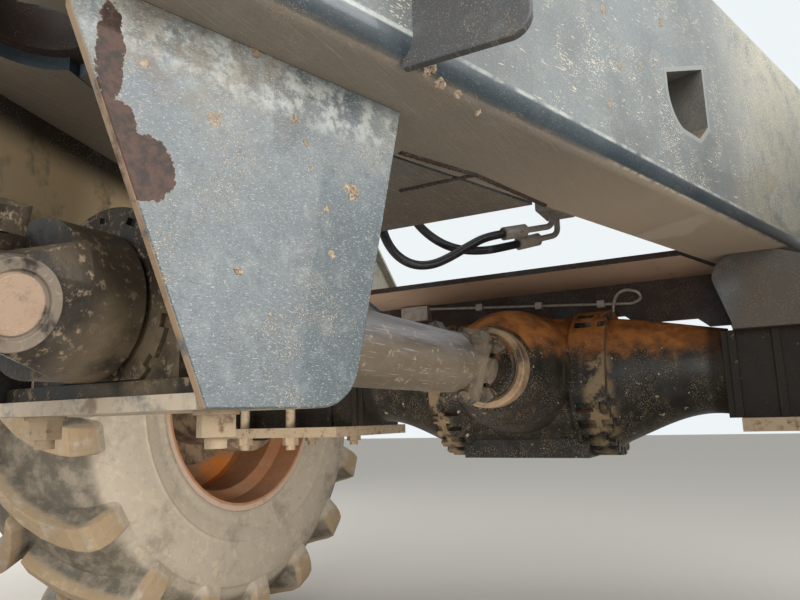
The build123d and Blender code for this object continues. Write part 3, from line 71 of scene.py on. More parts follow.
# Colours, linear
PAINT = (0.130, 0.170, 0.192)
PAINT_DEEP = (0.060, 0.085, 0.102)
DEEP_BLUE = (0.022, 0.033, 0.044)
HAZE = (0.30, 0.31, 0.29)
BARE = (0.50, 0.53, 0.52)
MUD = (0.40, 0.29, 0.18)
PALE_MUD = (0.56, 0.46, 0.33)
BROWN_FILM = (0.175, 0.142, 0.105)
SHADE_BROWN = (0.034, 0.023, 0.014)
RUST = (0.078, 0.038, 0.025)
RUST_DEEP = (0.028, 0.017, 0.013)
OCHRE = (0.47, 0.175, 0.045)
IRON = (0.012, 0.012, 0.010)
TYRE_DUST = (0.42, 0.355, 0.275)
RIM_ORANGE = (0.62, 0.20, 0.030)
RIM_DIRT = (0.36, 0.19, 0.095)
SHAFT_DIRT = (0.155, 0.112, 0.064)
HOSE_BLACK = (0.014, 0.014, 0.018)
ZINC = (0.42, 0.40, 0.37)
JOINT_TAN = (0.50, 0.34, 0.23)
STAGE_PALE = (0.62, 0.585, 0.53)
BACKDROP_SEEN = (0.86, 0.91, 0.93)
BACKDROP_LIT = (0.95, 0.98, 1.0)
BACKDROP_STRENGTH = 0.55

# The rear joint's near boss, and the sheen on the drum ahead of it
NEAR_BOSS = (-0.036, -0.056, -0.3515)
DRUM_SHEEN = (0.045, -0.040, -0.372)


class Reading:
    """One output of a node; sums and products written with it add Math nodes."""

    def __init__(self, nodes, socket):
        self.nodes = nodes
        self.socket = socket

    def math(self, operation, first, second=0.0):
        return self.nodes.node("ShaderNodeMath", {"operation": operation}, {0: first, 1: second})

    def __add__(self, other):
        return self.math("ADD", self, other)

    def __sub__(self, other):
        return self.math("SUBTRACT", self, other)

    def __rsub__(self, other):
        return self.math("SUBTRACT", other, self)

    def __mul__(self, other):
        return self.math("MULTIPLY", self, other)

    def __abs__(self):
        return self.math("ABSOLUTE", self)

    __radd__ = __add__
    __rmul__ = __mul__

    def least(self, other):
        return self.math("MINIMUM", self, other)

    def most(self, other):
        return self.math("MAXIMUM", self, other)

    def root(self):
        return self.math("SQRT", self)

    def rise(self, low, high):
        """0 below low, 1 above high and a smooth step between, or the reverse where low is the larger."""
        return self.nodes.node(
            "ShaderNodeMapRange",
            {"interpolation_type": "SMOOTHSTEP"},
            {"Value": self, "From Min": low, "From Max": high},
        )


class Nodes:
    """A node tree, emptied and then filled through one method."""

    def __init__(self, tree):
        self.tree = tree
        self.tree.nodes.clear()

    def node(self, kind, settings, sockets, out=0):
        """Any node: its type, its settings, then its sockets' values or links, and the output wanted."""
        made = self.tree.nodes.new(kind)
        for key, value in settings.items():
            setattr(made, key, value)
        for key, value in sockets.items():
            socket = made.inputs[key]
            if isinstance(value, Reading):
                self.tree.links.new(value.socket, socket)
            elif isinstance(value, tuple) and socket.type == "RGBA":
                socket.default_value = (*value[:3], 1.0)
            else:
                socket.default_value = value
        if out is None:
            return [Reading(self, socket) for socket in made.outputs]
        return Reading(self, made.outputs[out])


class Finish(Nodes):
    """A procedural material, built up in layers and read in the machine's own coordinates."""

    def __init__(self, name, colour, rough):
        self.material = bpy.data.materials.new(name)
        self.material.use_nodes = True
        super().__init__(self.material.node_tree)
        self.place = self.node("ShaderNodeTexCoord", {}, {}, "Object")
        normal = self.node("ShaderNodeTexCoord", {}, {}, "Normal")
        self.faces = self.node("ShaderNodeSeparateXYZ", {}, {0: normal}, None)
        self.at = self.node("ShaderNodeSeparateXYZ", {}, {0: self.place}, None)
        self.colour = colour
        self.rough = rough
        self.height = 0.0

    def stretched(self, scale, turn=(0.0, 0.0, 0.0)):
        """The place, turned and scaled by axis, for grain that runs one way."""
        return self.node("ShaderNodeMapping", {}, {"Vector": self.place, "Rotation": turn, "Scale": scale})

    def noise(self, scale, detail=3.0, rough=0.6, at=None):
        sockets = {"Vector": at or self.place, "Scale": scale, "Detail": detail, "Roughness": rough}
        return self.node("ShaderNodeTexNoise", {}, sockets)

    def cells(self, scale, at=None):
        return self.node("ShaderNodeTexVoronoi", {}, {"Vector": at or self.place, "Scale": scale})

    def blend(self, mask, under, over):
        """Colour under, covered by colour over where the mask is 1."""
        return self.node("ShaderNodeMix", {"data_type": "RGBA"}, {0: mask, 6: under, 7: over}, 2)

    def near(self, centre, radius, soft, squeeze=(1.0, 1.0, 1.0)):
        """1 within radius of a point, 0 past radius and soft."""
        away = self.node("ShaderNodeVectorMath", {"operation": "SUBTRACT"}, {0: self.place, 1: centre})
        away = self.node("ShaderNodeVectorMath", {"operation": "MULTIPLY"}, {0: away, 1: squeeze})
        length = self.node("ShaderNodeVectorMath", {"operation": "LENGTH"}, {0: away}, "Value")
        return length.rise(radius + soft, radius)

    def from_axle(self):
        """Distance from the line that both wheels turn about."""
        x, _, z = self.at
        away_x = x - AXLE.x
        away_z = z - AXLE.z
        return (away_x * away_x + away_z * away_z).root()

    def scratches(self, turns, width=0.0009, length=0.035):
        """Thin straight marks in the given directions."""
        marks = None
        for k, turn in enumerate(turns):
            lines = self.stretched((1 / length, 1 / width, 1 / width), (0.9 * k, turn, 0.4 * k))
            found = self.noise(1.0, 1.0, 0.5, lines).rise(0.66, 0.73)
            marks = found if marks is None else marks.most(found)
        return marks

    def lay(self, mask, colour, rough=None, high=0.0):
        """Covers what lies under the mask with a colour, its roughness and its height."""
        self.colour = self.blend(mask, self.colour, colour)
        if rough is not None:
            self.rough = (rough - self.rough) * mask + self.rough
        if high:
            self.height = mask * high + self.height

    def done(self, depth=0.001, metal=0.0, coat=0.0, gloss=0.5, alpha=1.0):
        """Joins the layers to the shader and gives the material."""
        sockets = {"Base Color": self.colour, "Roughness": self.rough, "Metallic": metal,
                   "Coat Weight": coat, "Specular IOR Level": gloss, "Alpha": alpha}
        if isinstance(self.height, Reading):
            sockets["Normal"] = self.node("ShaderNodeBump", {}, {"Height": self.height, "Distance": depth})
        shader = self.node("ShaderNodeBsdfPrincipled", {}, sockets)
        self.node("ShaderNodeOutputMaterial", {}, {"Surface": shader}, None)
        return self.material


def coat_of_paint(name, deep=PAINT_DEEP, light=PAINT, turns=(0.5, 1.9)):
    """Blue-grey paint with clouds, haze and fine scratches; what lies on it follows."""
    skin = Finish(name, None, 0.34)
    skin.colour = skin.blend(skin.noise(6.0).rise(0.32, 0.70), deep, light)
    skin.height = skin.noise(320.0, 2.0) * 0.10
    skin.lay(skin.noise(30.0, 4.0, 0.72).rise(0.46, 0.80) * 0.38, HAZE, 0.55)
    skin.lay(skin.noise(210.0, 3.0, 0.7).rise(0.56, 0.68) * 0.45, deep, 0.5)
    skin.lay(skin.scratches(turns) * 0.55, BARE, 0.5, -0.3)
    return skin


def brown_below(skin, share=0.85, turn=(-0.30, -0.80)):
    """Brown film on the faces that look down, from the first upward reach of normals to the second."""
    _, _, up = skin.faces
    under = up.rise(*turn)
    skin.lay(under * skin.noise(11.0, 4.0).rise(0.10, 0.55) * share, BROWN_FILM, 0.62)
    skin.lay(under * skin.noise(90.0, 4.0, 0.7).rise(0.50, 0.72) * 0.5, (0.26, 0.215, 0.165), 0.8)
    skin.lay(under * skin.noise(340.0, 3.0, 0.8).rise(0.50, 0.62) * 0.45, (0.055, 0.045, 0.035), 0.6)
    skin.lay(under * skin.scratches((0.0, 2.6), 0.0012, 0.05) * 0.40, (0.42, 0.38, 0.32), 0.6)
    return under


def speckle(skin, many, size=700.0, colour=PALE_MUD):
    """Fine pale specks, in drifts."""
    drifts = skin.noise(22.0, 3.0).rise(0.62 - many, 0.80 - many)
    skin.lay(skin.cells(size).rise(0.30, 0.18) * drifts * 0.8, colour, 0.9, 0.5)


def common_paint():
    """Paint of the frame's pieces that the view shows least: clouds, film, specks and mud."""
    skin = coat_of_paint("weathered_paint")
    brown_below(skin)
    speckle(skin, 0.20)
    skin.lay(skin.noise(120.0, 4.0, 0.6).rise(0.64, 0.69), MUD, 0.9, 0.6)
    return skin.done(0.0006, coat=0.1)


def plate_paint():
    """Near cradle plate: paler and scuffed above, darker below, rust down its rear edge."""
    skin = coat_of_paint("plate_paint", (0.042, 0.060, 0.074), (0.088, 0.116, 0.134), (0.35, 0.9, 2.4))
    x_out, _, _ = skin.faces
    _, _, z = skin.at
    skin.lay(z.rise(-0.300, -0.175) * skin.noise(16.0, 4.0).rise(0.30, 0.70) * 0.55, HAZE, 0.55)
    band = skin.near((0.100, -0.119, -0.186), 0.010, 0.018, (0.12, 0.12, 1.0))
    skin.lay(band * skin.noise(70.0, 4.0, 0.7).rise(0.44, 0.62) * 0.75, (0.50, 0.52, 0.49), 0.6)
    skin.lay(z.rise(-0.335, -0.375) * 0.55, PAINT_DEEP)
    skin.lay(z.rise(-0.205, -0.280) * 0.50, (0.048, 0.060, 0.060))
    film = skin.near((0.030, -0.098, -0.160), 0.03, 0.10, (0.8, 0.8, 1.3))
    skin.lay(film * skin.noise(40.0, 4.0, 0.7).rise(0.40, 0.62) * 0.7, BROWN_FILM, 0.7)
    skin.lay(skin.noise(55.0, 4.0, 0.75).rise(0.50, 0.66) * 0.24, (0.30, 0.32, 0.31), 0.6)
    skin.lay(skin.noise(85.0, 4.0, 0.75).rise(0.54, 0.68) * 0.45, (0.030, 0.042, 0.052), 0.4)
    skin.lay(skin.scratches((1.1, 1.6), 0.0007, 0.020) * 0.6, (0.46, 0.48, 0.46), 0.6)
    speckle(skin, 0.14, 900.0)
    speckle(skin, 0.13, 420.0)
    rusty = None
    for centre, radius, squeeze in RUST_SPOTS:
        spot = skin.near(centre, radius, 0.009, squeeze)
        rusty = spot if rusty is None else rusty.most(spot)
    ragged = rusty + skin.noise(150.0, 5.0, 0.75) * 1.8
    skin.lay(ragged.rise(1.26, 1.36), (0.26, 0.22, 0.18), 0.7)
    scale = skin.blend(skin.noise(120.0, 4.0, 0.7).rise(0.38, 0.62), RUST_DEEP, RUST)
    skin.lay(ragged.rise(1.38, 1.46), scale, 0.92, 0.8)
    skin.height = ragged.rise(1.38, 1.46) * skin.noise(200.0, 4.0, 0.7) * 2.0 + skin.height
    edge = x_out.rise(-0.60, -0.85)
    skin.lay(edge * skin.noise(50.0, 4.0).rise(0.30, 0.55), (0.34, 0.23, 0.14), 0.8, 0.3)
    return skin.done(0.0006, coat=0.15)


def rail_paint():
    """Rails: bend darkened to deep blue as painted shade with a painted highlight along its top, cream
    flecks that thicken forward, brown underside with a pale line painted as a highlight along its edge.
    """
    skin = coat_of_paint("rail_paint")
    x, _, z = skin.at
    # Painted shade: the bend is darkened to deep blue.
    bend = z.rise(-0.141, -0.149)
    skin.lay(bend * 0.72, DEEP_BLUE, 0.30)
    # Painted highlight: a pale line along the top of the bend.
    bend_highlight = abs(z + 0.1445).rise(0.0030, 0.0008) * skin.noise(28.0, 4.0, 0.7).rise(0.36, 0.62)
    skin.lay(bend_highlight * 0.7, (0.55, 0.58, 0.56), 0.4)
    under = brown_below(skin, 0.85, (-0.72, -0.96))
    skin.lay(under.rise(0.60, 0.95) * 0.35, (0.42, 0.36, 0.29), 0.7)
    skin.lay(under * x.rise(0.30, 0.70) * 0.80, (0.55, 0.44, 0.335), 0.7)
    web = z.rise(-0.149, -0.141)
    dusty = x.rise(0.66, 0.95)
    skin.lay(web * 0.22, (0.34, 0.30, 0.23), 0.5)
    skin.lay(web * dusty * skin.noise(26.0, 4.0, 0.7).rise(0.22, 0.55) * 0.70, (0.60, 0.55, 0.42), 0.8)
    slant = skin.stretched((260.0, 260.0, 520.0), (0.0, 0.55, 0.0))
    drift = skin.noise(19.0, 3.0).rise(0.50, 0.66) * 0.8 + dusty * 0.9
    flecks = skin.cells(1.0, slant).rise(0.36, 0.27) * web * drift.least(1.0)
    skin.lay(flecks * 0.95, (0.76, 0.69, 0.54), 0.9, 0.5)
    strokes = skin.stretched((70.0, 70.0, 420.0), (0.0, 0.75, 0.0))
    long_flecks = skin.noise(1.0, 2.0, 0.5, strokes).rise(0.66, 0.70) * web
    skin.lay(long_flecks * 0.75, (0.70, 0.64, 0.50), 0.9, 0.5)
    skin.lay(web * skin.noise(300.0, 3.0, 0.8).rise(0.54, 0.64) * 0.45, (0.10, 0.12, 0.13), 0.5)
    # Painted highlight: a pale tan line along the underside's edge, towards the front.
    edge_highlight = (under * (1.0 - under) * 4.0).rise(0.40, 0.95) * x.rise(0.38, 0.48)
    skin.lay(edge_highlight * skin.noise(60.0, 4.0, 0.7).rise(0.36, 0.58), (0.45, 0.39, 0.31), 0.7)
    speckle(skin, 0.12, 620.0)
    return skin.done(0.0006, coat=0.2)


def shaded_paint(name, film, colour=SHADE_BROWN, deep=DEEP_BLUE, light=PAINT_DEEP):
    """Paint that never sees the sky, darkened as painted shade: blue-black, mostly under a dark brown film,
    with a few specks.
    """
    skin = coat_of_paint(name, deep, light)
    skin.lay(skin.noise(9.0, 4.0).rise(0.10, 0.60) * film, colour, 0.7)
    skin.lay(skin.noise(75.0, 4.0, 0.7).rise(0.55, 0.70) * 0.35, (0.13, 0.10, 0.07), 0.85, 0.3)
    speckle(skin, 0.22, 520.0, MUD)
    return skin


def beam_paint():
    """Beam over the axle: web darkened as painted shade, brown dust along its underside painted paler than
    dust, as painted light.
    """
    skin = shaded_paint("beam_paint", 0.92, (0.050, 0.028, 0.020))
    _, _, up = skin.faces
    # Painted light: the underside's dust is written pale, standing in for light thrown up from the ground.
    under = up.rise(-0.6, -0.9) * skin.noise(30.0, 4.0, 0.7).rise(0.10, 0.45)
    skin.lay(under * 0.95, (0.60, 0.43, 0.31), 0.7)
    return skin.done(0.0006, gloss=0.25)


def liner_paint():
    """Liner of the rail's window: darkened as painted shade, its front wall pale as painted light, mud in
    its bottom, paint on its rim.
    """
    skin = shaded_paint("liner_paint", 0.35, (0.22, 0.175, 0.125), (0.05, 0.06, 0.07), (0.16, 0.175, 0.18))
    ahead, outward, up = skin.faces
    # Painted light: the front wall is paler than the rest of the liner.
    skin.lay(ahead.rise(0.25, 0.75) * 0.7, (0.33, 0.35, 0.34), 0.4)
    mud = up.rise(0.2, 0.7) * skin.noise(60.0, 4.0, 0.7).rise(0.30, 0.55)
    skin.lay(mud * 0.85, (0.30, 0.21, 0.13), 0.9, 0.5)
    skin.lay(abs(outward).rise(0.86, 0.93), (0.24, 0.25, 0.235), 0.5)
    return skin.done(0.0006)


def far_plate_paint():
    """Far cradle plate, seen inside: darkened as painted shade, with a band of dried mud across it painted
    paler than mud, as painted light.
    """
    skin = shaded_paint("far_plate_paint", 0.95)
    _, _, z = skin.at
    # Painted light: the mud band is written paler than mud so that it reads lit within the plate's shade.
    away = abs(z + 0.222).rise(0.046, 0.016)
    skin.lay(away * skin.noise(22.0, 4.0, 0.7).rise(0.20, 0.50) * 0.95, (0.95, 0.74, 0.46), 0.9, 0.5)
    return skin.done(0.0008)


def floor_paint():
    """Cradle floor: worn grey edge under tan dust."""
    skin = coat_of_paint("floor_paint")
    brown_below(skin)
    skin.lay(skin.noise(45.0, 5.0, 0.7).rise(0.30, 0.56) * 0.85, (0.56, 0.45, 0.33), 0.85, 0.5)
    skin.lay(skin.noise(24.0, 4.0).rise(0.58, 0.70) * 0.6, RUST, 0.9, 0.3)
    return skin.done(0.0008)


def axle_iron():
    """Black painted casting: ochre dust on top, pale specks and mud streaks below, the arms' ends darkened
    as painted shade.
    """
    skin = Finish("black_casting", None, 0.36)
    _, _, up = skin.faces
    _, y, z = skin.at
    skin.colour = skin.blend(skin.noise(30.0, 4.0).rise(0.3, 0.8), IRON, (0.034, 0.031, 0.026))
    skin.height = skin.noise(190.0, 3.0) * 0.5
    skin.lay(skin.noise(12.0, 4.0).rise(0.42, 0.72) * 0.55, SHADE_BROWN, 0.6)
    runs = skin.noise(1.0, 3.0, 0.6, skin.stretched((60.0, 60.0, 9.0)))
    skin.lay(runs.rise(0.58, 0.72) * 0.40, (0.16, 0.12, 0.075), 0.8)
    drifts = skin.noise(20.0, 3.0).rise(0.36, 0.60)
    skin.lay(skin.cells(430.0).rise(0.36, 0.20) * drifts * 0.8, MUD, 0.9, 0.6)
    skin.lay(skin.noise(70.0, 4.0, 0.62).rise(0.66, 0.70) * 0.8, PALE_MUD, 0.9, 0.8)
    pockets = abs(abs(y) - 0.150).rise(0.030, 0.012) * skin.noise(34.0, 3.0).rise(0.42, 0.56)
    skin.lay(pockets * 0.7, (0.30, 0.21, 0.12), 0.95, 0.6)
    lie = up * 0.9 + (z - SHAFT_Z) * 6.0 + skin.noise(38.0, 5.0, 0.7) * 1.2
    ochre = skin.blend(skin.noise(24.0, 4.0).rise(0.35, 0.65), (0.21, 0.075, 0.020), OCHRE)
    skin.lay(lie.rise(0.75, 1.60) * 0.95, ochre, 0.92, 0.3)
    # Painted shade: the arms past 0.33 m from the middle, in the saddles' shadow, are darkened to near
    # black.
    skin.lay(abs(y).rise(0.315, 0.330) * 0.80, (0.012, 0.008, 0.004), 0.7)
    return skin.done(0.0008, gloss=0.22)


def shaft_steel():
    """Dusty painted tube, streaked along its length, with blots of mud."""
    skin = Finish("shaft_grey", None, 0.42)
    _, _, up = skin.faces
    streaks = skin.noise(1.0, 4.0, 0.65, skin.stretched((6.0, 60.0, 60.0)))
    skin.colour = skin.blend(streaks.rise(0.3, 0.7), (0.085, 0.075, 0.070), (0.19, 0.18, 0.185))
    skin.height = streaks * 0.4 + skin.noise(240.0, 3.0) * 0.4
    skin.lay(up.rise(0.50, -0.30) * 0.80, SHAFT_DIRT, 0.7)
    skin.lay(skin.noise(24.0, 5.0, 0.68).rise(0.54, 0.66) * 0.55, BROWN_FILM, 0.6)
    skin.lay(skin.noise(85.0, 4.0, 0.7).rise(0.58, 0.70) * 0.6, PALE_MUD, 0.9, 0.5)
    skin.lay(skin.scratches((0.2,), 0.0012, 0.05) * 0.4, BARE, 0.4)
    return skin.done(0.0005)


def greasy_iron(name, light):
    """Dark joint and bearing castings with dried mud, black grease and dusty cap ends."""
    skin = Finish(name, None, 0.40)
    _, _, up = skin.faces
    clouds = skin.noise(14.0, 5.0, 0.65)
    skin.colour = skin.blend(clouds.rise(0.36, 0.64), (0.014, 0.012, 0.010), light)
    skin.height = clouds * 0.6 + skin.noise(320.0, 2.0) * 0.3
    skin.lay(skin.noise(150.0, 4.0, 0.7).rise(0.54, 0.66) * 0.5, MUD, 0.9, 0.5)
    skin.lay(up.rise(0.1, 0.9) * 0.30, (0.13, 0.095, 0.06), 0.8)
    # Painted highlight: a tan sheen on the drum.
    drum = skin.near(DRUM_SHEEN, 0.016, 0.030, (1.0, 0.6, 0.8))
    skin.lay(drum * skin.noise(30.0, 4.0).rise(0.25, 0.55) * 0.75, (0.17, 0.125, 0.075), 0.6)
    ring = skin.near(NEAR_BOSS, 0.0265, 0.0015)
    skin.lay(ring * skin.noise(45.0, 4.0, 0.7).rise(0.25, 0.50) * 0.7, (0.27, 0.215, 0.165), 0.8, 0.3)
    disc = skin.near(NEAR_BOSS, 0.0165, 0.0010)
    skin.lay(disc * skin.noise(60.0, 4.0, 0.7).rise(0.24, 0.44) * 0.55, JOINT_TAN, 0.85, 0.4)
    return skin.done(0.0009, gloss=0.35)


def tyre_rubber():
    """Rubber under beige dust; crusted on the lugs, darkened in the hollows by the shoulder as painted
    shade, more in patches.
    """
    skin = Finish("dusty_rubber", None, 0.86)
    _, y, _ = skin.at
    reach = skin.from_axle()
    clouds = skin.noise(8.0, 5.0, 0.68)
    skin.colour = skin.blend(clouds.rise(0.30, 0.50), (0.27, 0.225, 0.170), TYRE_DUST)
    skin.height = skin.noise(130.0, 5.0, 0.75) * 0.5
    skin.lay(skin.noise(42.0, 5.0, 0.7).rise(0.50, 0.66) * 0.5, PALE_MUD, 0.95, 0.5)
    wide = abs(abs(y) - HALF_TRACK).rise(0.186, 0.194)
    hollow = reach.rise(0.440, 0.462) * reach.rise(0.526, 0.506) * (1.0 - wide)
    hollow_shade_patches = skin.noise(26.0, 5.0, 0.7).rise(0.34, 0.60)
    # Painted shade: the hollows and lug sides by the shoulder are darkened, more in patches.
    skin.lay(hollow * 0.55, (0.135, 0.112, 0.076), 0.8)
    skin.lay(hollow * hollow_shade_patches * 0.75, (0.070, 0.060, 0.044), 0.7)
    on_lug = reach.rise(0.436, 0.452) * wide
    top = reach.rise(0.508, 0.522).most(on_lug)
    skin.lay(top * skin.noise(30.0, 5.0, 0.7).rise(0.30, 0.52) * 0.85, (0.34, 0.235, 0.130), 0.95)
    skin.lay(skin.noise(70.0, 5.0, 0.8).rise(0.56, 0.70) * 0.35, (0.13, 0.105, 0.075), 0.9)
    skin.lay(skin.noise(30.0, 5.0, 0.7).rise(0.64, 0.72) * 0.30, (0.20, 0.165, 0.13), 0.8)
    return skin.done(0.0016)


def rim_paint():
    """Orange rim, bright where sheltered, brown dust over most of it."""
    skin = Finish("dusty_orange", None, 0.55)
    skin.colour = skin.blend(skin.noise(9.0, 4.0).rise(0.36, 0.58), RIM_DIRT, RIM_ORANGE)
    _, y, _ = skin.at
    reach = skin.from_axle()
    barrel = reach.rise(0.212, 0.218) * abs(y).rise(0.905, 0.890)
    skin.lay(barrel * skin.noise(14.0, 4.0).rise(0.15, 0.45) * 0.85, (0.31, 0.14, 0.068), 0.8)
    skin.lay(skin.noise(30.0, 5.0, 0.7).rise(0.42, 0.68) * 0.6, (0.38, 0.23, 0.135), 0.8, 0.5)
    lip = reach.rise(0.2485, 0.2530)
    skin.lay(lip * skin.noise(26.0, 4.0).rise(0.20, 0.42) * 0.9, (0.50, 0.375, 0.285), 0.85, 0.4)
    skin.lay(skin.noise(160.0, 4.0, 0.7).rise(0.60, 0.68) * 0.6, (0.10, 0.05, 0.03), 0.8, 0.4)
    return skin.done(0.0006)


def muddy_hub():
    """Hub under brown mud."""
    skin = Finish("muddy_hub", None, 0.85)
    caked = skin.noise(20.0, 5.0, 0.7).rise(0.36, 0.60)
    skin.colour = skin.blend(caked, (0.10, 0.060, 0.035), (0.33, 0.23, 0.14))
    skin.height = skin.noise(60.0, 5.0, 0.7)
    return skin.done(0.0012)


def hose_cover():
    """Smooth black hose cover with a little dust."""
    skin = Finish("black_hose", HOSE_BLACK, 0.33)
    skin.lay(skin.noise(60.0, 4.0, 0.7).rise(0.50, 0.72) * 0.35, (0.16, 0.14, 0.12), 0.7)
    return skin.done()


def plated_steel():
    """Zinc-plated fittings and nuts under beige dust, rusting in spots."""
    skin = Finish("dusty_zinc", ZINC, 0.36)
    skin.lay(skin.noise(70.0, 4.0, 0.7).rise(0.36, 0.64) * 0.75, (0.36, 0.28, 0.21), 0.8, 0.5)
    skin.lay(skin.noise(110.0, 4.0, 0.7).rise(0.60, 0.70) * 0.5, RUST, 0.9, 0.4)
    return skin.done(0.0005, metal=0.35)


def dusty_bolts():
    """Nuts and studs under tan dust, rust showing in places."""
    skin = Finish("dusty_bolts", None, 0.88)
    dust = skin.noise(80.0, 4.0, 0.7).rise(0.28, 0.50)
    skin.colour = skin.blend(dust, (0.135, 0.078, 0.045), (0.36, 0.27, 0.175))
    skin.height = skin.noise(160.0, 4.0, 0.7)
    return skin.done(0.0008)


def dried_mud():
    """Thin splashes of dried mud, broken up so that the paint shows through."""
    skin = Finish("dried_mud", None, 0.95)
    clouds = skin.noise(140.0, 4.0, 0.7).rise(0.35, 0.65)
    skin.colour = skin.blend(clouds, (0.30, 0.215, 0.14), (0.47, 0.37, 0.26))
    skin.height = skin.noise(420.0, 3.0)
    whole = skin.noise(330.0, 4.0, 0.80).rise(0.42, 0.54)
    return skin.done(0.0002, alpha=whole)


# Rust down the near plate's rear edge: centre, radius, squeeze
RUST_SPOTS = [
    ((-0.0105, -0.0863, -0.207), 0.0035, (1.0, 1.0, 0.24)),
    ((-0.0040, -0.0882, -0.246), 0.0060, (1.0, 1.0, 0.80)),
    ((0.0115, -0.0930, -0.269), 0.0125, (0.92, 0.92, 0.85)),
]

FINISHES = {
    "frame_paint": common_paint(),
    "axle_iron": axle_iron(),
    "rim_paint": rim_paint(),
    "tyre_rubber": tyre_rubber(),
    "shaft_steel": shaft_steel(),
    "hose_rubber": hose_cover(),
    "plated_steel": plated_steel(),
}
GREASY = greasy_iron("greasy_casting", (0.080, 0.060, 0.040))
JOINT = greasy_iron("dusty_joint", (0.20, 0.160, 0.115))
SEAL = greasy_iron("dusty_seal", (0.42, 0.28, 0.165))
# Painted shade: a darker copy of the greasy casting, for the bearing housing and ring.
BEARING_SHADE = greasy_iron("bearing_painted_shade", (0.038, 0.028, 0.018))
RAIL = rail_paint()
# Paints darkened as painted shade, for the parts that lie in shade.
SHADED = shaded_paint("shaded_paint", 0.92, (0.050, 0.028, 0.020)).done(0.0006, gloss=0.25)
HALF_SHADED = shaded_paint("half_shaded_paint", 0.80, (0.085, 0.062, 0.038)).done(0.0006, gloss=0.3)
STEP_SKIN = shaded_paint(
    "step_paint", 0.40, (0.095, 0.078, 0.055), (0.032, 0.040, 0.052), (0.060, 0.070, 0.086)
)
STEP = STEP_SKIN.done(0.0006)
HUB_MUD = muddy_hub()
BOLTS = dusty_bolts()
MUD_LUMPS = dried_mud()

# Nodes whose finish differs from their slot's
OWN_FINISH = {
    "rail_left": RAIL,
    "rail_right": RAIL,
    "cradle_side_right": plate_paint(),
    "cradle_side_left": far_plate_paint(),
    "cradle_floor": floor_paint(),
    "step_brackets": STEP,
    "window_liners": liner_paint(),
    "saddle_left": HALF_SHADED,
    "saddle_right": HALF_SHADED,
    "axle_beam": beam_paint(),
    "clamp_plates": BOLTS,
    "king_lug_lower": SHADED,
    "ram_beam": SHADED,
    "stub_yoke": GREASY,
    "input_sleeve": GREASY,
    "rear_cross": GREASY,
    "rear_caps": GREASY,
    "bearing_housing": BEARING_SHADE,
    "bearing_ring": BEARING_SHADE,
    "tube_yoke": JOINT,
    "front_cross": GREASY,
    "front_caps": JOINT,
    "wing_bolts": JOINT,
    "pinion_flange": FINISHES["axle_iron"],
    "pinion_ring": SEAL,
    "hub_left": HUB_MUD,
    "hub_right": HUB_MUD,
    "clamp_studs": BOLTS,
    "floor_bolts": BOLTS,
}

# Sizes of the rounded edges that the solids are given here
EDGES = {
    "cradle_side_left": 0.0012,
    "cradle_side_right": 0.0012,
    "cradle_floor": 0.0014,
    "rail_left": 0.0012,
    "rail_right": 0.0012,
    "bearing_housing": 0.004,
    "stub_yoke": 0.003,
    "input_sleeve": 0.003,
    "rear_caps": 0.0025,
    "front_caps": 0.0025,
    "tube_yoke": 0.003,
    "pinion_flange": 0.002,
    "axle_centre": 0.003,
    "axle_arm_left": 0.004,
    "axle_arm_right": 0.004,
    "step_brackets": 0.0012,
    "saddle_left": 0.0015,
    "saddle_right": 0.0015,
    "clamp_plates": 0.0015,
    "clamp_studs": 0.0008,
    "floor_bolts": 0.0010,
    "wheel_nuts_left": 0.0010,
    "wheel_nuts_right": 0.0010,
    "port_block": 0.0010,
}


# How solids and the scene's own pieces get their rounded edges
SAME_POINT = 0.00001
FLAT_WITHIN = math.radians(0.5)
SOLID_EDGE_OVER = math.radians(32)
PIECE_EDGE_OVER = math.radians(38)
TYRE_EDGE = 0.005
TURNED_EDGE = 0.0012


def slot_of(node):
    """The record's material slot of a node's solids."""
    for entry in frame["record"]["subparts"]:
        if entry["node"] == node:
            return entry["material_slot"]
    return None


def flat_faces(target):
    """Normals that follow the large faces, so that rounded edges don't shade them."""
    weighted = target.modifiers.new("normals", "WEIGHTED_NORMAL")
    weighted.keep_sharp = True
    weighted.weight = 80


def round_edges(target, size, over):
    """Rounds the edges that turn by more than an angle."""
    bevel = target.modifiers.new("edge", "BEVEL")
    bevel.width = size
    bevel.segments = 2
    bevel.limit_method = "ANGLE"
    bevel.angle_limit = over
    flat_faces(target)


def soften(target, size):
    """Rounds a solid's sharp edges without changing its mesh."""
    weld = target.modifiers.new("join", "WELD")
    weld.merge_threshold = SAME_POINT
    flat = target.modifiers.new("flat", "DECIMATE")
    flat.decimate_type = "DISSOLVE"
    flat.angle_limit = FLAT_WITHIN
    round_edges(target, size, SOLID_EDGE_OVER)


def dress_frame():
    """Gives every CAD node its finish and its softened edges."""
    for name, target in frame["nodes"].items():
        material = OWN_FINISH.get(name) or FINISHES[slot_of(name)]
        target.data.materials.clear()
        target.data.materials.append(material)
        if name in EDGES:
            soften(target, EDGES[name])


def piece(name, points, faces, body, material):
    """A mesh on a body, its faces turned outward."""
    mesh = bpy.data.meshes.new(name)
    mesh.from_pydata(points, [], faces)
    shape = bmesh.new()
    shape.from_mesh(mesh)
    bmesh.ops.recalc_face_normals(shape, faces=shape.faces)
    shape.to_mesh(mesh)
    shape.free()
    mesh.materials.append(material)
    made = bpy.data.objects.new(name, mesh)
    bpy.context.scene.collection.objects.link(made)
    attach(made, body)
    return made


def smooth(target, count=None):
    """Smooth shading on a piece's first faces, or on all of them."""
    for polygon in target.data.polygons[:count]:
        polygon.use_smooth = True


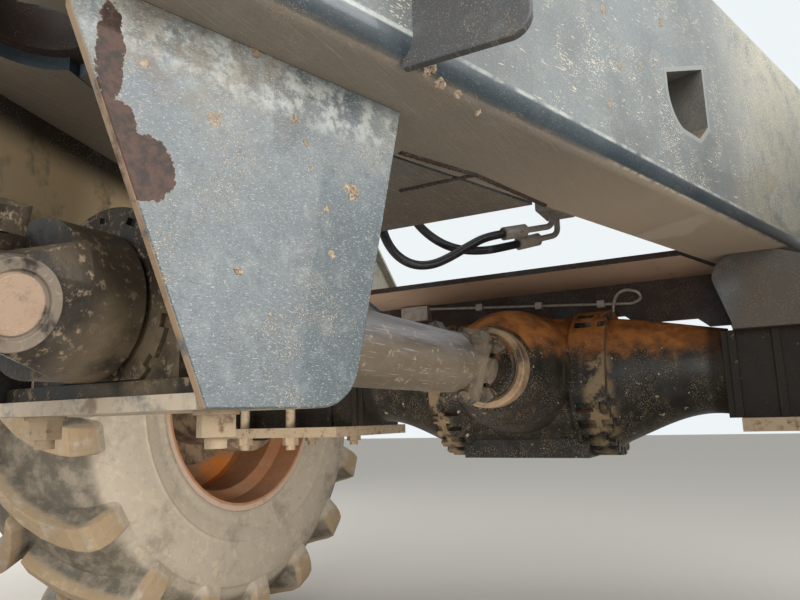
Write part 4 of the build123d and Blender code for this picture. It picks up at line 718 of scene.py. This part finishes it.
def prism(points, faces, outline, ends):
    """Adds an outline in y and z, drawn out along x between two ends."""
    first = len(points)
    count = len(outline)
    points += [(x, y, z) for x in ends for y, z in outline]
    faces.append(tuple(first + k for k in range(count)))
    faces.append(tuple(first + count + k for k in range(count)))
    for k in range(count):
        after = (k + 1) % count
        faces.append((first + k, first + after, first + count + after, first + count + k))


# Tyre

# Carcass from crown to bead: distance from the middle plane, radius
CARCASS = [
    (0.000, 0.4950), (0.050, 0.4940), (0.100, 0.4900), (0.135, 0.4830), (0.155, 0.4750), (0.167, 0.4650),
    (0.1745, 0.4530), (0.1800, 0.4400), (0.1845, 0.4290), (0.1895, 0.4270), (0.1915, 0.4240),
    (0.1965, 0.4050), (0.1995, 0.3800), (0.1995, 0.3560), (0.1975, 0.3380), (0.1992, 0.3350),
    (0.1992, 0.3290), (0.1962, 0.3260), (0.1930, 0.3100), (0.1880, 0.2960), (0.1850, 0.2860),
    (0.1850, 0.2760), (0.1840, 0.2690), (0.1810, 0.2640), (0.1785, 0.2620),
]
CARCASS_INSIDE = [
    (0.131, 0.2620), (0.131, 0.2790), (0.165, 0.3200), (0.178, 0.3800), (0.168, 0.4400), (0.145, 0.4640),
    (0.060, 0.4810), (0.000, 0.4830),
]
# Lug from the middle line down over the shoulder: its foot's distance from the middle plane and radius,
# its top's, how far it has swept round, and half its width at foot and top
LUG = [
    (-0.014, 0.488, -0.012, 0.5365, 0.000, 0.024, 0.015),
    (0.020, 0.488, 0.020, 0.5365, 0.040, 0.026, 0.016),
    (0.055, 0.487, 0.055, 0.5360, 0.073, 0.028, 0.018),
    (0.095, 0.484, 0.095, 0.5345, 0.099, 0.031, 0.020),
    (0.130, 0.478, 0.132, 0.5315, 0.114, 0.034, 0.022),
    (0.150, 0.470, 0.166, 0.5275, 0.123, 0.037, 0.024),
    (0.161, 0.458, 0.188, 0.5195, 0.129, 0.040, 0.026),
    (0.168, 0.446, 0.1975, 0.5050, 0.134, 0.042, 0.027),
    (0.174, 0.434, 0.2008, 0.4860, 0.138, 0.042, 0.027),
    (0.180, 0.424, 0.2010, 0.4660, 0.141, 0.040, 0.026),
    (0.185, 0.414, 0.1985, 0.4420, 0.143, 0.036, 0.022),
]
LUG_COUNT = 17
LUG_START = math.radians(-90.0)
# Radius at which the sweep and the half widths are measured
LUG_REACH = 0.52
TURNS = 136


def on_tyre(side, across, radius, angle):
    """Point of a tyre; the angle runs from the rear, down and forward."""
    return (
        AXLE.x - radius * math.cos(angle),
        side * (HALF_TRACK + across),
        AXLE.z - radius * math.sin(angle),
    )


def carcass(side, points, faces):
    """Adds the tyre's ribbed shell, hollow inside and closed round the beads."""
    section = CARCASS[::-1] + [(-w, r) for w, r in CARCASS[1:]]
    section += [(-w, r) for w, r in CARCASS_INSIDE] + CARCASS_INSIDE[-2::-1]
    count = len(section)
    for turn in range(TURNS):
        angle = 2 * math.pi * turn / TURNS
        points += [on_tyre(side, w, r, angle) for w, r in section]
        ahead = (turn + 1) % TURNS
        for k in range(count):
            after = (k + 1) % count
            faces.append(
                (turn * count + k, turn * count + after, ahead * count + after, ahead * count + k)
            )


def lugs(side, points, faces):
    """Adds both rows of lugs, half a pitch apart."""
    pitch = 2 * math.pi / LUG_COUNT
    for row, stagger in ((-1, 0.0), (1, 0.5)):
        for k in range(LUG_COUNT):
            start = LUG_START + pitch * (k + stagger)
            first = len(points)
            for foot_w, foot_r, top_w, top_r, sweep, foot_half, top_half in LUG:
                for w, r, half in (
                    (foot_w, foot_r, -foot_half),
                    (top_w, top_r, -top_half),
                    (top_w, top_r, top_half),
                    (foot_w, foot_r, foot_half),
                ):
                    points.append(on_tyre(side, row * w, r, start + (sweep + half) / LUG_REACH))
            last = first + 4 * (len(LUG) - 1)
            for at in range(first, last, 4):
                for n in range(4):
                    m = (n + 1) % 4
                    faces.append((at + n, at + m, at + 4 + m, at + 4 + n))
            faces.append((first, first + 1, first + 2, first + 3))
            faces.append((last, last + 1, last + 2, last + 3))


def tyres():
    """Detailed tyres in place of the plain ones: ribbed walls and curved lugs."""
    for side, end in ((1, "left"), (-1, "right")):
        points = []
        faces = []
        carcass(side, points, faces)
        smooth_to = len(faces)
        lugs(side, points, faces)
        rubber = FINISHES["tyre_rubber"]
        made = piece(f"tyre_{end}_detail", points, faces, f"wheel_{end}", rubber)
        smooth(made, smooth_to)
        round_edges(made, TYRE_EDGE, PIECE_EDGE_OVER)
        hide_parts(f"tyre_{end}")


# Forms that the photograph shows and the solids lack

# Near half of the beam's web, millimetres in y and z: arch over the nose, level edge, deeper end
WEB_HALF = [(175, -228), (197, -245), (305, -245), (325, -262), (386, -262), (386, -166)]
WEB_X = (1.0992, 1.1088)
# Hub, millimetres from the middle plane and radius: bell, waist and the flange that carries the disc
HUB = [
    (-198, 60), (-198, 113), (-186, 125), (-128, 125), (-108, 108), (0, 108), (0, 158), (30, 158), (30, 105),
    (114, 105), (126, 99), (126, 75), (126, 0),
]
# The hub's end face narrows to this at its middle, millimetres
HUB_MIDDLE = 0.5
# Rear joint's boss with its grooved cap, metres along the arm and radius
BOSS = [
    (0.0400, 0.0255), (0.0585, 0.0255), (0.0585, 0.0190), (0.0567, 0.0186), (0.0567, 0.0170),
    (0.0581, 0.0166), (0.0581, 0.0005),
]
REAR_JOINT_X = -0.034
SHAFT_PHASE = math.radians(16.5)
# Step bracket, metres: how far the solid and this one reach out, root in the rail, level edge, corner
STEP_SOLID_REACH = 0.088
STEP_REACH = 0.086
STEP_ROOT = 0.010
STEP_BOTTOM = -0.168
STEP_CORNER = 0.016
STEP_ARC = 8


def turned(name, body, section, place, material, turns=64):
    """Body of revolution; place turns a distance along, a radius and an angle into a point."""
    points = []
    faces = []
    count = len(section)
    for turn in range(turns):
        angle = 2 * math.pi * turn / turns
        points += [place(along, radius, angle) for along, radius in section]
        ahead = (turn + 1) % turns
        for k in range(count - 1):
            faces.append((turn * count + k, turn * count + k + 1, ahead * count + k + 1, ahead * count + k))
    for at in (0, count - 1):
        faces.append(tuple(turn * count + at for turn in range(turns)))
    made = piece(name, points, faces, body, material)
    round_edges(made, TURNED_EDGE, PIECE_EDGE_OVER)
    return made


def steps():
    """Step brackets with level lower edges and rounded lower corners."""
    low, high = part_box("step_brackets")
    rail_y = high.y - STEP_SOLID_REACH
    corner_y = rail_y + STEP_REACH - STEP_CORNER
    corner_z = STEP_BOTTOM + STEP_CORNER
    outline = [(rail_y - STEP_ROOT, high.z), (rail_y - STEP_ROOT, STEP_BOTTOM)]
    for k in range(STEP_ARC + 1):
        angle = math.pi * k / STEP_ARC / 2
        y = corner_y + STEP_CORNER * math.sin(angle)
        z = corner_z - STEP_CORNER * math.cos(angle)
        outline.append((y, z))
    outline.append((rail_y + STEP_REACH, high.z))
    points = []
    faces = []
    for side in (-1, 1):
        prism(points, faces, [(side * y, z) for y, z in outline], (low.x, high.x))
    made = piece("step_brackets_detail", points, faces, "frame", STEP)
    soften(made, EDGES["step_brackets"])
    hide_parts("step_brackets")


def beam_web():
    """Skirt of the axle beam's web, arched over the nose and deeper at its ends."""
    outline = WEB_HALF + [(-y, z) for y, z in WEB_HALF[::-1]]
    points = []
    faces = []
    prism(points, faces, [(y / 1000, z / 1000) for y, z in outline], WEB_X)
    piece("beam_web_skirt", points, faces, "frame", OWN_FINISH["axle_beam"])


def hubs():
    """Hubs with bell, waist and flange in place of the plain ones."""
    for side, end in ((1, "left"), (-1, "right")):
        def place(along, radius, angle):
            return (
                AXLE.x + radius * math.cos(angle),
                side * (HALF_TRACK + along),
                AXLE.z + radius * math.sin(angle),
            )

        section = [(along / 1000, max(radius, HUB_MIDDLE) / 1000) for along, radius in HUB]
        made = turned(f"hub_{end}_detail", f"wheel_{end}", section, place, HUB_MUD)
        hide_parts(f"hub_{end}")


def bosses():
    """Round ends of the rear joint's side arms, each with its grooved cap."""
    for name, way in (("near", -1), ("far", 1)):
        axis = Vector((0, way * math.cos(SHAFT_PHASE), way * math.sin(SHAFT_PHASE)))
        across = Vector((1, 0, 0))
        above = axis.cross(across)

        def place(along, radius, angle):
            offset = axis * along + across * radius * math.cos(angle) + above * radius * math.sin(angle)
            return tuple(Vector((REAR_JOINT_X, 0, SHAFT_Z)) + offset)

        turned(f"rear_boss_{name}", "shaft", BOSS, place, GREASY)


# Dried mud and welds

# Ways that the near plate, the near rail's web and its bend face
PLATE_TURN = math.radians(16.5)
WEB_TURN = math.radians(18.3)
PLATE_OUT = Vector((-math.sin(PLATE_TURN), -math.cos(PLATE_TURN), 0))
WEB_OUT = Vector((-math.sin(WEB_TURN), -math.cos(WEB_TURN), 0))
BEND_OUT = Vector((-0.22, -0.67, -0.70)).normalized()
# Splashes: millimetres, then radius; on the near plate, on the web and over the bend
PLATE_SPLASHES = [
    (9, -92, -205, 5), (20, -95, -169, 5), (53, -105, -225, 7), (43, -102, -206, 3), (81, -114, -169, 4),
    (112, -123, -206, 4.5), (122, -126, -220, 3), (128, -127, -229, 4.5), (126, -127, -239, 2.7),
    (83, -114, -230, 2.2), (94, -117, -250, 2.2), (163, -138, -247, 7), (139, -131, -265, 3),
    (83, -114, -292, 2.2), (138, -130, -289, 3.8), (144, -132, -298, 4.6), (71, -111, -321, 3),
    (40, -101, -333, 2.2), (97, -118, -330, 5), (95, -118, -346, 2.2), (91, -116, -360, 4.5),
]
WEB_SPLASHES = [
    (423, -289, 2, 6), (559, -334, 49, 7), (448, -297, -51, 6), (494, -312, -33, 5), (418, -287, -105, 7),
]
BEND_SPLASHES = [
    (166, -204, -166, 7), (175, -208, -174, 5), (194, -214, -175, 4), (216, -221, -182, 3.5),
]
# Weld seams under the frame, millimetres in x and y, at the underside
SEAMS = [
    ((289, -114), (382, -153)), ((383, -64), (382, -153)), ((382, -153), (524, -187)),
]
UNDERSIDE = -165
# Points round a splash, how deep it is sunk, and how high it may stand, metres
AROUND = 16
SPLASH_SUNK = -0.0003
SPLASH_HIGH = 0.0004
# Weld bead, metres: length of a ripple, radius in its hollows and on its ridges; points round it
RIPPLE = 0.0035
BEAD_LOW = 0.0026
BEAD_HIGH = 0.0032
BEAD_ROUND = 8


def splash(points, faces, centre, out, radius, shape):
    """Low lump with a ragged outline, slightly sunk in the surface."""
    across = out.cross(Vector((0, 0, 1))).normalized()
    up = across.cross(out)
    reaches = [radius * shape.uniform(0.62, 1.12) for _ in range(AROUND)]
    long, lean = shape.uniform(1.0, 1.35), shape.uniform(0, math.pi)
    first = len(points)
    tall = min(SPLASH_HIGH, radius * 0.06)
    for share, rise in ((1.0, SPLASH_SUNK), (0.94, tall * 0.5), (0.55, tall)):
        for k, reach in enumerate(reaches):
            angle = 2 * math.pi * k / AROUND
            a = reach * share * math.cos(angle) * long
            b = reach * share * math.sin(angle)
            a, b = a * math.cos(lean) - b * math.sin(lean), a * math.sin(lean) + b * math.cos(lean)
            points.append(tuple(centre + across * a + up * b + out * rise))
    for ring in range(2):
        for k in range(AROUND):
            after = (k + 1) % AROUND
            low = first + ring * AROUND
            faces.append((low + k, low + after, low + AROUND + after, low + AROUND + k))
    faces.append(tuple(first + k for k in range(AROUND)))
    faces.append(tuple(first + 2 * AROUND + k for k in range(AROUND)))


def weld_bead(points, faces, start, end, shape):
    """Adds a rippled bead between two points."""
    run = end - start
    across = run.cross(Vector((0, 0, 1))).normalized()
    ripples = max(2, int(run.length / RIPPLE))
    first = len(points)
    for ripple in range(ripples + 1):
        radius = (BEAD_LOW if ripple % 2 else BEAD_HIGH) * shape.uniform(0.92, 1.08)
        middle = start + run * (ripple / ripples)
        for k in range(BEAD_ROUND):
            angle = 2 * math.pi * k / BEAD_ROUND
            up = Vector((0, 0, radius * math.sin(angle)))
            points.append(tuple(middle + across * radius * math.cos(angle) + up))
    for ripple in range(ripples):
        for k in range(BEAD_ROUND):
            after = (k + 1) % BEAD_ROUND
            low = first + ripple * BEAD_ROUND
            faces.append((low + k, low + after, low + BEAD_ROUND + after, low + BEAD_ROUND + k))
    faces.append(tuple(first + k for k in range(BEAD_ROUND)))
    faces.append(tuple(first + ripples * BEAD_ROUND + k for k in range(BEAD_ROUND)))


def mud_and_welds():
    """Splashes on the near plate and rail, and the weld seams under the frame."""
    shape = random.Random(7)
    points = []
    faces = []
    for table, out in ((PLATE_SPLASHES, PLATE_OUT), (WEB_SPLASHES, WEB_OUT), (BEND_SPLASHES, BEND_OUT)):
        for x, y, z, radius in table:
            splash(points, faces, Vector((x, y, z)) / 1000, out, radius / 1000, shape)
    lumps = piece("mud_splashes", points, faces, "frame", MUD_LUMPS)
    smooth(lumps)
    points = []
    faces = []
    for start, end in SEAMS:
        ends = [Vector((x, y, UNDERSIDE)) / 1000 for x, y in (start, end)]
        weld_bead(points, faces, *ends, shape)
    beads = piece("weld_beads", points, faces, "frame", SHADED)
    smooth(beads)


# Routes of the two hoses, from their front ferrules to their rear ones
HOSE_A = [
    (0.736, -0.061, -0.131),
    (0.712, -0.042, -0.138),
    (0.688, -0.022, -0.155),
    (0.662, -0.002, -0.175),
    (0.638, 0.018, -0.190),
    (0.613, 0.038, -0.193),
    (0.591, 0.055, -0.180),
    (0.577, 0.066, -0.154),
    (0.572, 0.070, -0.122),
    (0.571, 0.071, -0.090),
]
HOSE_B = [
    (0.787, -0.068, -0.137),
    (0.762, -0.048, -0.146),
    (0.735, -0.027, -0.154),
    (0.707, -0.004, -0.156),
    (0.681, 0.017, -0.150),
    (0.657, 0.036, -0.134),
    (0.639, 0.051, -0.110),
    (0.626, 0.061, -0.080),
    (0.621, 0.065, -0.046),
]
HOSE_RADIUS = 0.0067


def smooth_line(name, route, radius):
    """Curve object on one smooth line near the route's points."""
    line = bpy.data.curves.new(name, "CURVE")
    line.dimensions = "3D"
    line.bevel_depth = radius
    line.bevel_resolution = 6
    line.resolution_u = 12
    line.use_fill_caps = True
    spline = line.splines.new("NURBS")
    spline.points.add(len(route) - 1)
    for point, place in zip(spline.points, route):
        point.co = (*place, 1.0)
    spline.order_u = 3
    spline.use_endpoint_u = True
    made = bpy.data.objects.new(name, line)
    bpy.context.scene.collection.objects.link(made)
    return made


def hoses():
    """Both hydraulic hoses, as smooth tubes along routes between their ferrules."""
    for name, route in (("hose_a", HOSE_A), ("hose_b", HOSE_B)):
        cover = smooth_line(name + "_cover", route, HOSE_RADIUS)
        cover.data.materials.append(FINISHES["hose_rubber"])
        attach(cover, "frame")
        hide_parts(name)


def camera():
    """The photograph's view."""
    forward = Vector(
        (
            math.cos(CAMERA_PITCH) * math.cos(CAMERA_YAW),
            math.cos(CAMERA_PITCH) * math.sin(CAMERA_YAW),
            math.sin(CAMERA_PITCH),
        )
    )
    level = Vector((math.sin(CAMERA_YAW), -math.cos(CAMERA_YAW), 0))
    above = level.cross(forward)
    right = math.cos(CAMERA_ROLL) * level + math.sin(CAMERA_ROLL) * above
    top = -math.sin(CAMERA_ROLL) * level + math.cos(CAMERA_ROLL) * above
    data = bpy.data.cameras.new("view")
    data.sensor_width = SENSOR
    data.lens = FOCAL_PIXELS * SENSOR / FRAME_PIXELS
    data.clip_start = NEAREST_SEEN
    made = bpy.data.objects.new("view", data)
    made.matrix_world = Matrix(
        (
            (right.x, top.x, -forward.x, CAMERA_AT.x),
            (right.y, top.y, -forward.y, CAMERA_AT.y),
            (right.z, top.z, -forward.z, CAMERA_AT.z),
            (0, 0, 0, 1),
        )
    )
    bpy.context.scene.collection.objects.link(made)
    bpy.context.scene.camera = made


def lamp(name, at, to, size, power, colour, spread):
    """Soft square lamp at a point, aimed at another, its light spread over some degrees."""
    data = bpy.data.lights.new(name, "AREA")
    data.shape = "SQUARE"
    data.size = size
    data.energy = power
    data.color = colour
    data.spread = math.radians(spread)
    made = bpy.data.objects.new(name, data)
    made.location = at
    made.rotation_euler = (Vector(to) - Vector(at)).to_track_quat("-Z", "Y").to_euler()
    bpy.context.scene.collection.objects.link(made)


def backdrop():
    """The world: pale for the camera and for gloss, and a dimmer light for the rest."""
    world = bpy.data.worlds.new("pale")
    bpy.context.scene.world = world
    world.use_nodes = True
    sky = Nodes(world.node_tree)

    def ray(kind):
        return sky.node("ShaderNodeLightPath", {}, {}, kind)

    shown = ray("Is Camera Ray").most(ray("Is Glossy Ray").most(ray("Is Transmission Ray")))
    seen = sky.node("ShaderNodeBackground", {}, {"Color": BACKDROP_SEEN})
    lit = sky.node("ShaderNodeBackground", {}, {"Color": BACKDROP_LIT, "Strength": BACKDROP_STRENGTH})
    mixed = sky.node("ShaderNodeMixShader", {}, {0: shown, 1: lit, 2: seen})
    sky.node("ShaderNodeOutputWorld", {}, {"Surface": mixed}, None)


# Pale floor: half its side, and how far it lies below the tyres
STAGE_HALF = 14.0
STAGE_GAP = 0.001


def stage():
    """Pale floor at the tyres' lowest point."""
    mesh = bpy.data.meshes.new("floor")
    corners = [(x * STAGE_HALF, y * STAGE_HALF, 0) for x, y in ((-1, -1), (1, -1), (1, 1), (-1, 1))]
    mesh.from_pydata(corners, [], [(0, 1, 2, 3)])
    made = bpy.data.objects.new("floor", mesh)
    made.location = (AXLE.x, 0, GROUND_Z - STAGE_GAP)
    bpy.context.scene.collection.objects.link(made)
    mesh.materials.append(Finish("pale_floor", STAGE_PALE, 0.9).done())


# Lamps: name, place, aim, side, watts, colour, and the angle over which a lamp sheds its light.
# The last stands in for the light that pale ground throws back under the machine.
LAMPS = [
    ("near_side", (0.2, -3.2, 0.6), (0.5, 0, -0.2), 2.4, 110, (1.0, 0.99, 0.97), 180),
    ("behind", (-3.0, -0.6, 0.3), (0.3, 0, -0.3), 2.0, 60, (0.97, 0.99, 1.0), 180),
    ("far_side", (1.4, 3.6, 0.2), (0.9, 0, -0.4), 2.2, 60, (1.0, 0.98, 0.95), 180),
    ("low_side", (0.30, -0.20, -0.84), (1.0, 0.72, -0.45), 0.4, 2.1, (1.0, 0.97, 0.92), 70),
]


dress_frame()
tyres()
hubs()
beam_web()
steps()
bosses()
mud_and_welds()
hoses()
camera()
stage()
backdrop()
for entry in LAMPS:
    lamp(*entry)

scene = bpy.context.scene
scene.view_settings.view_transform = "Standard"
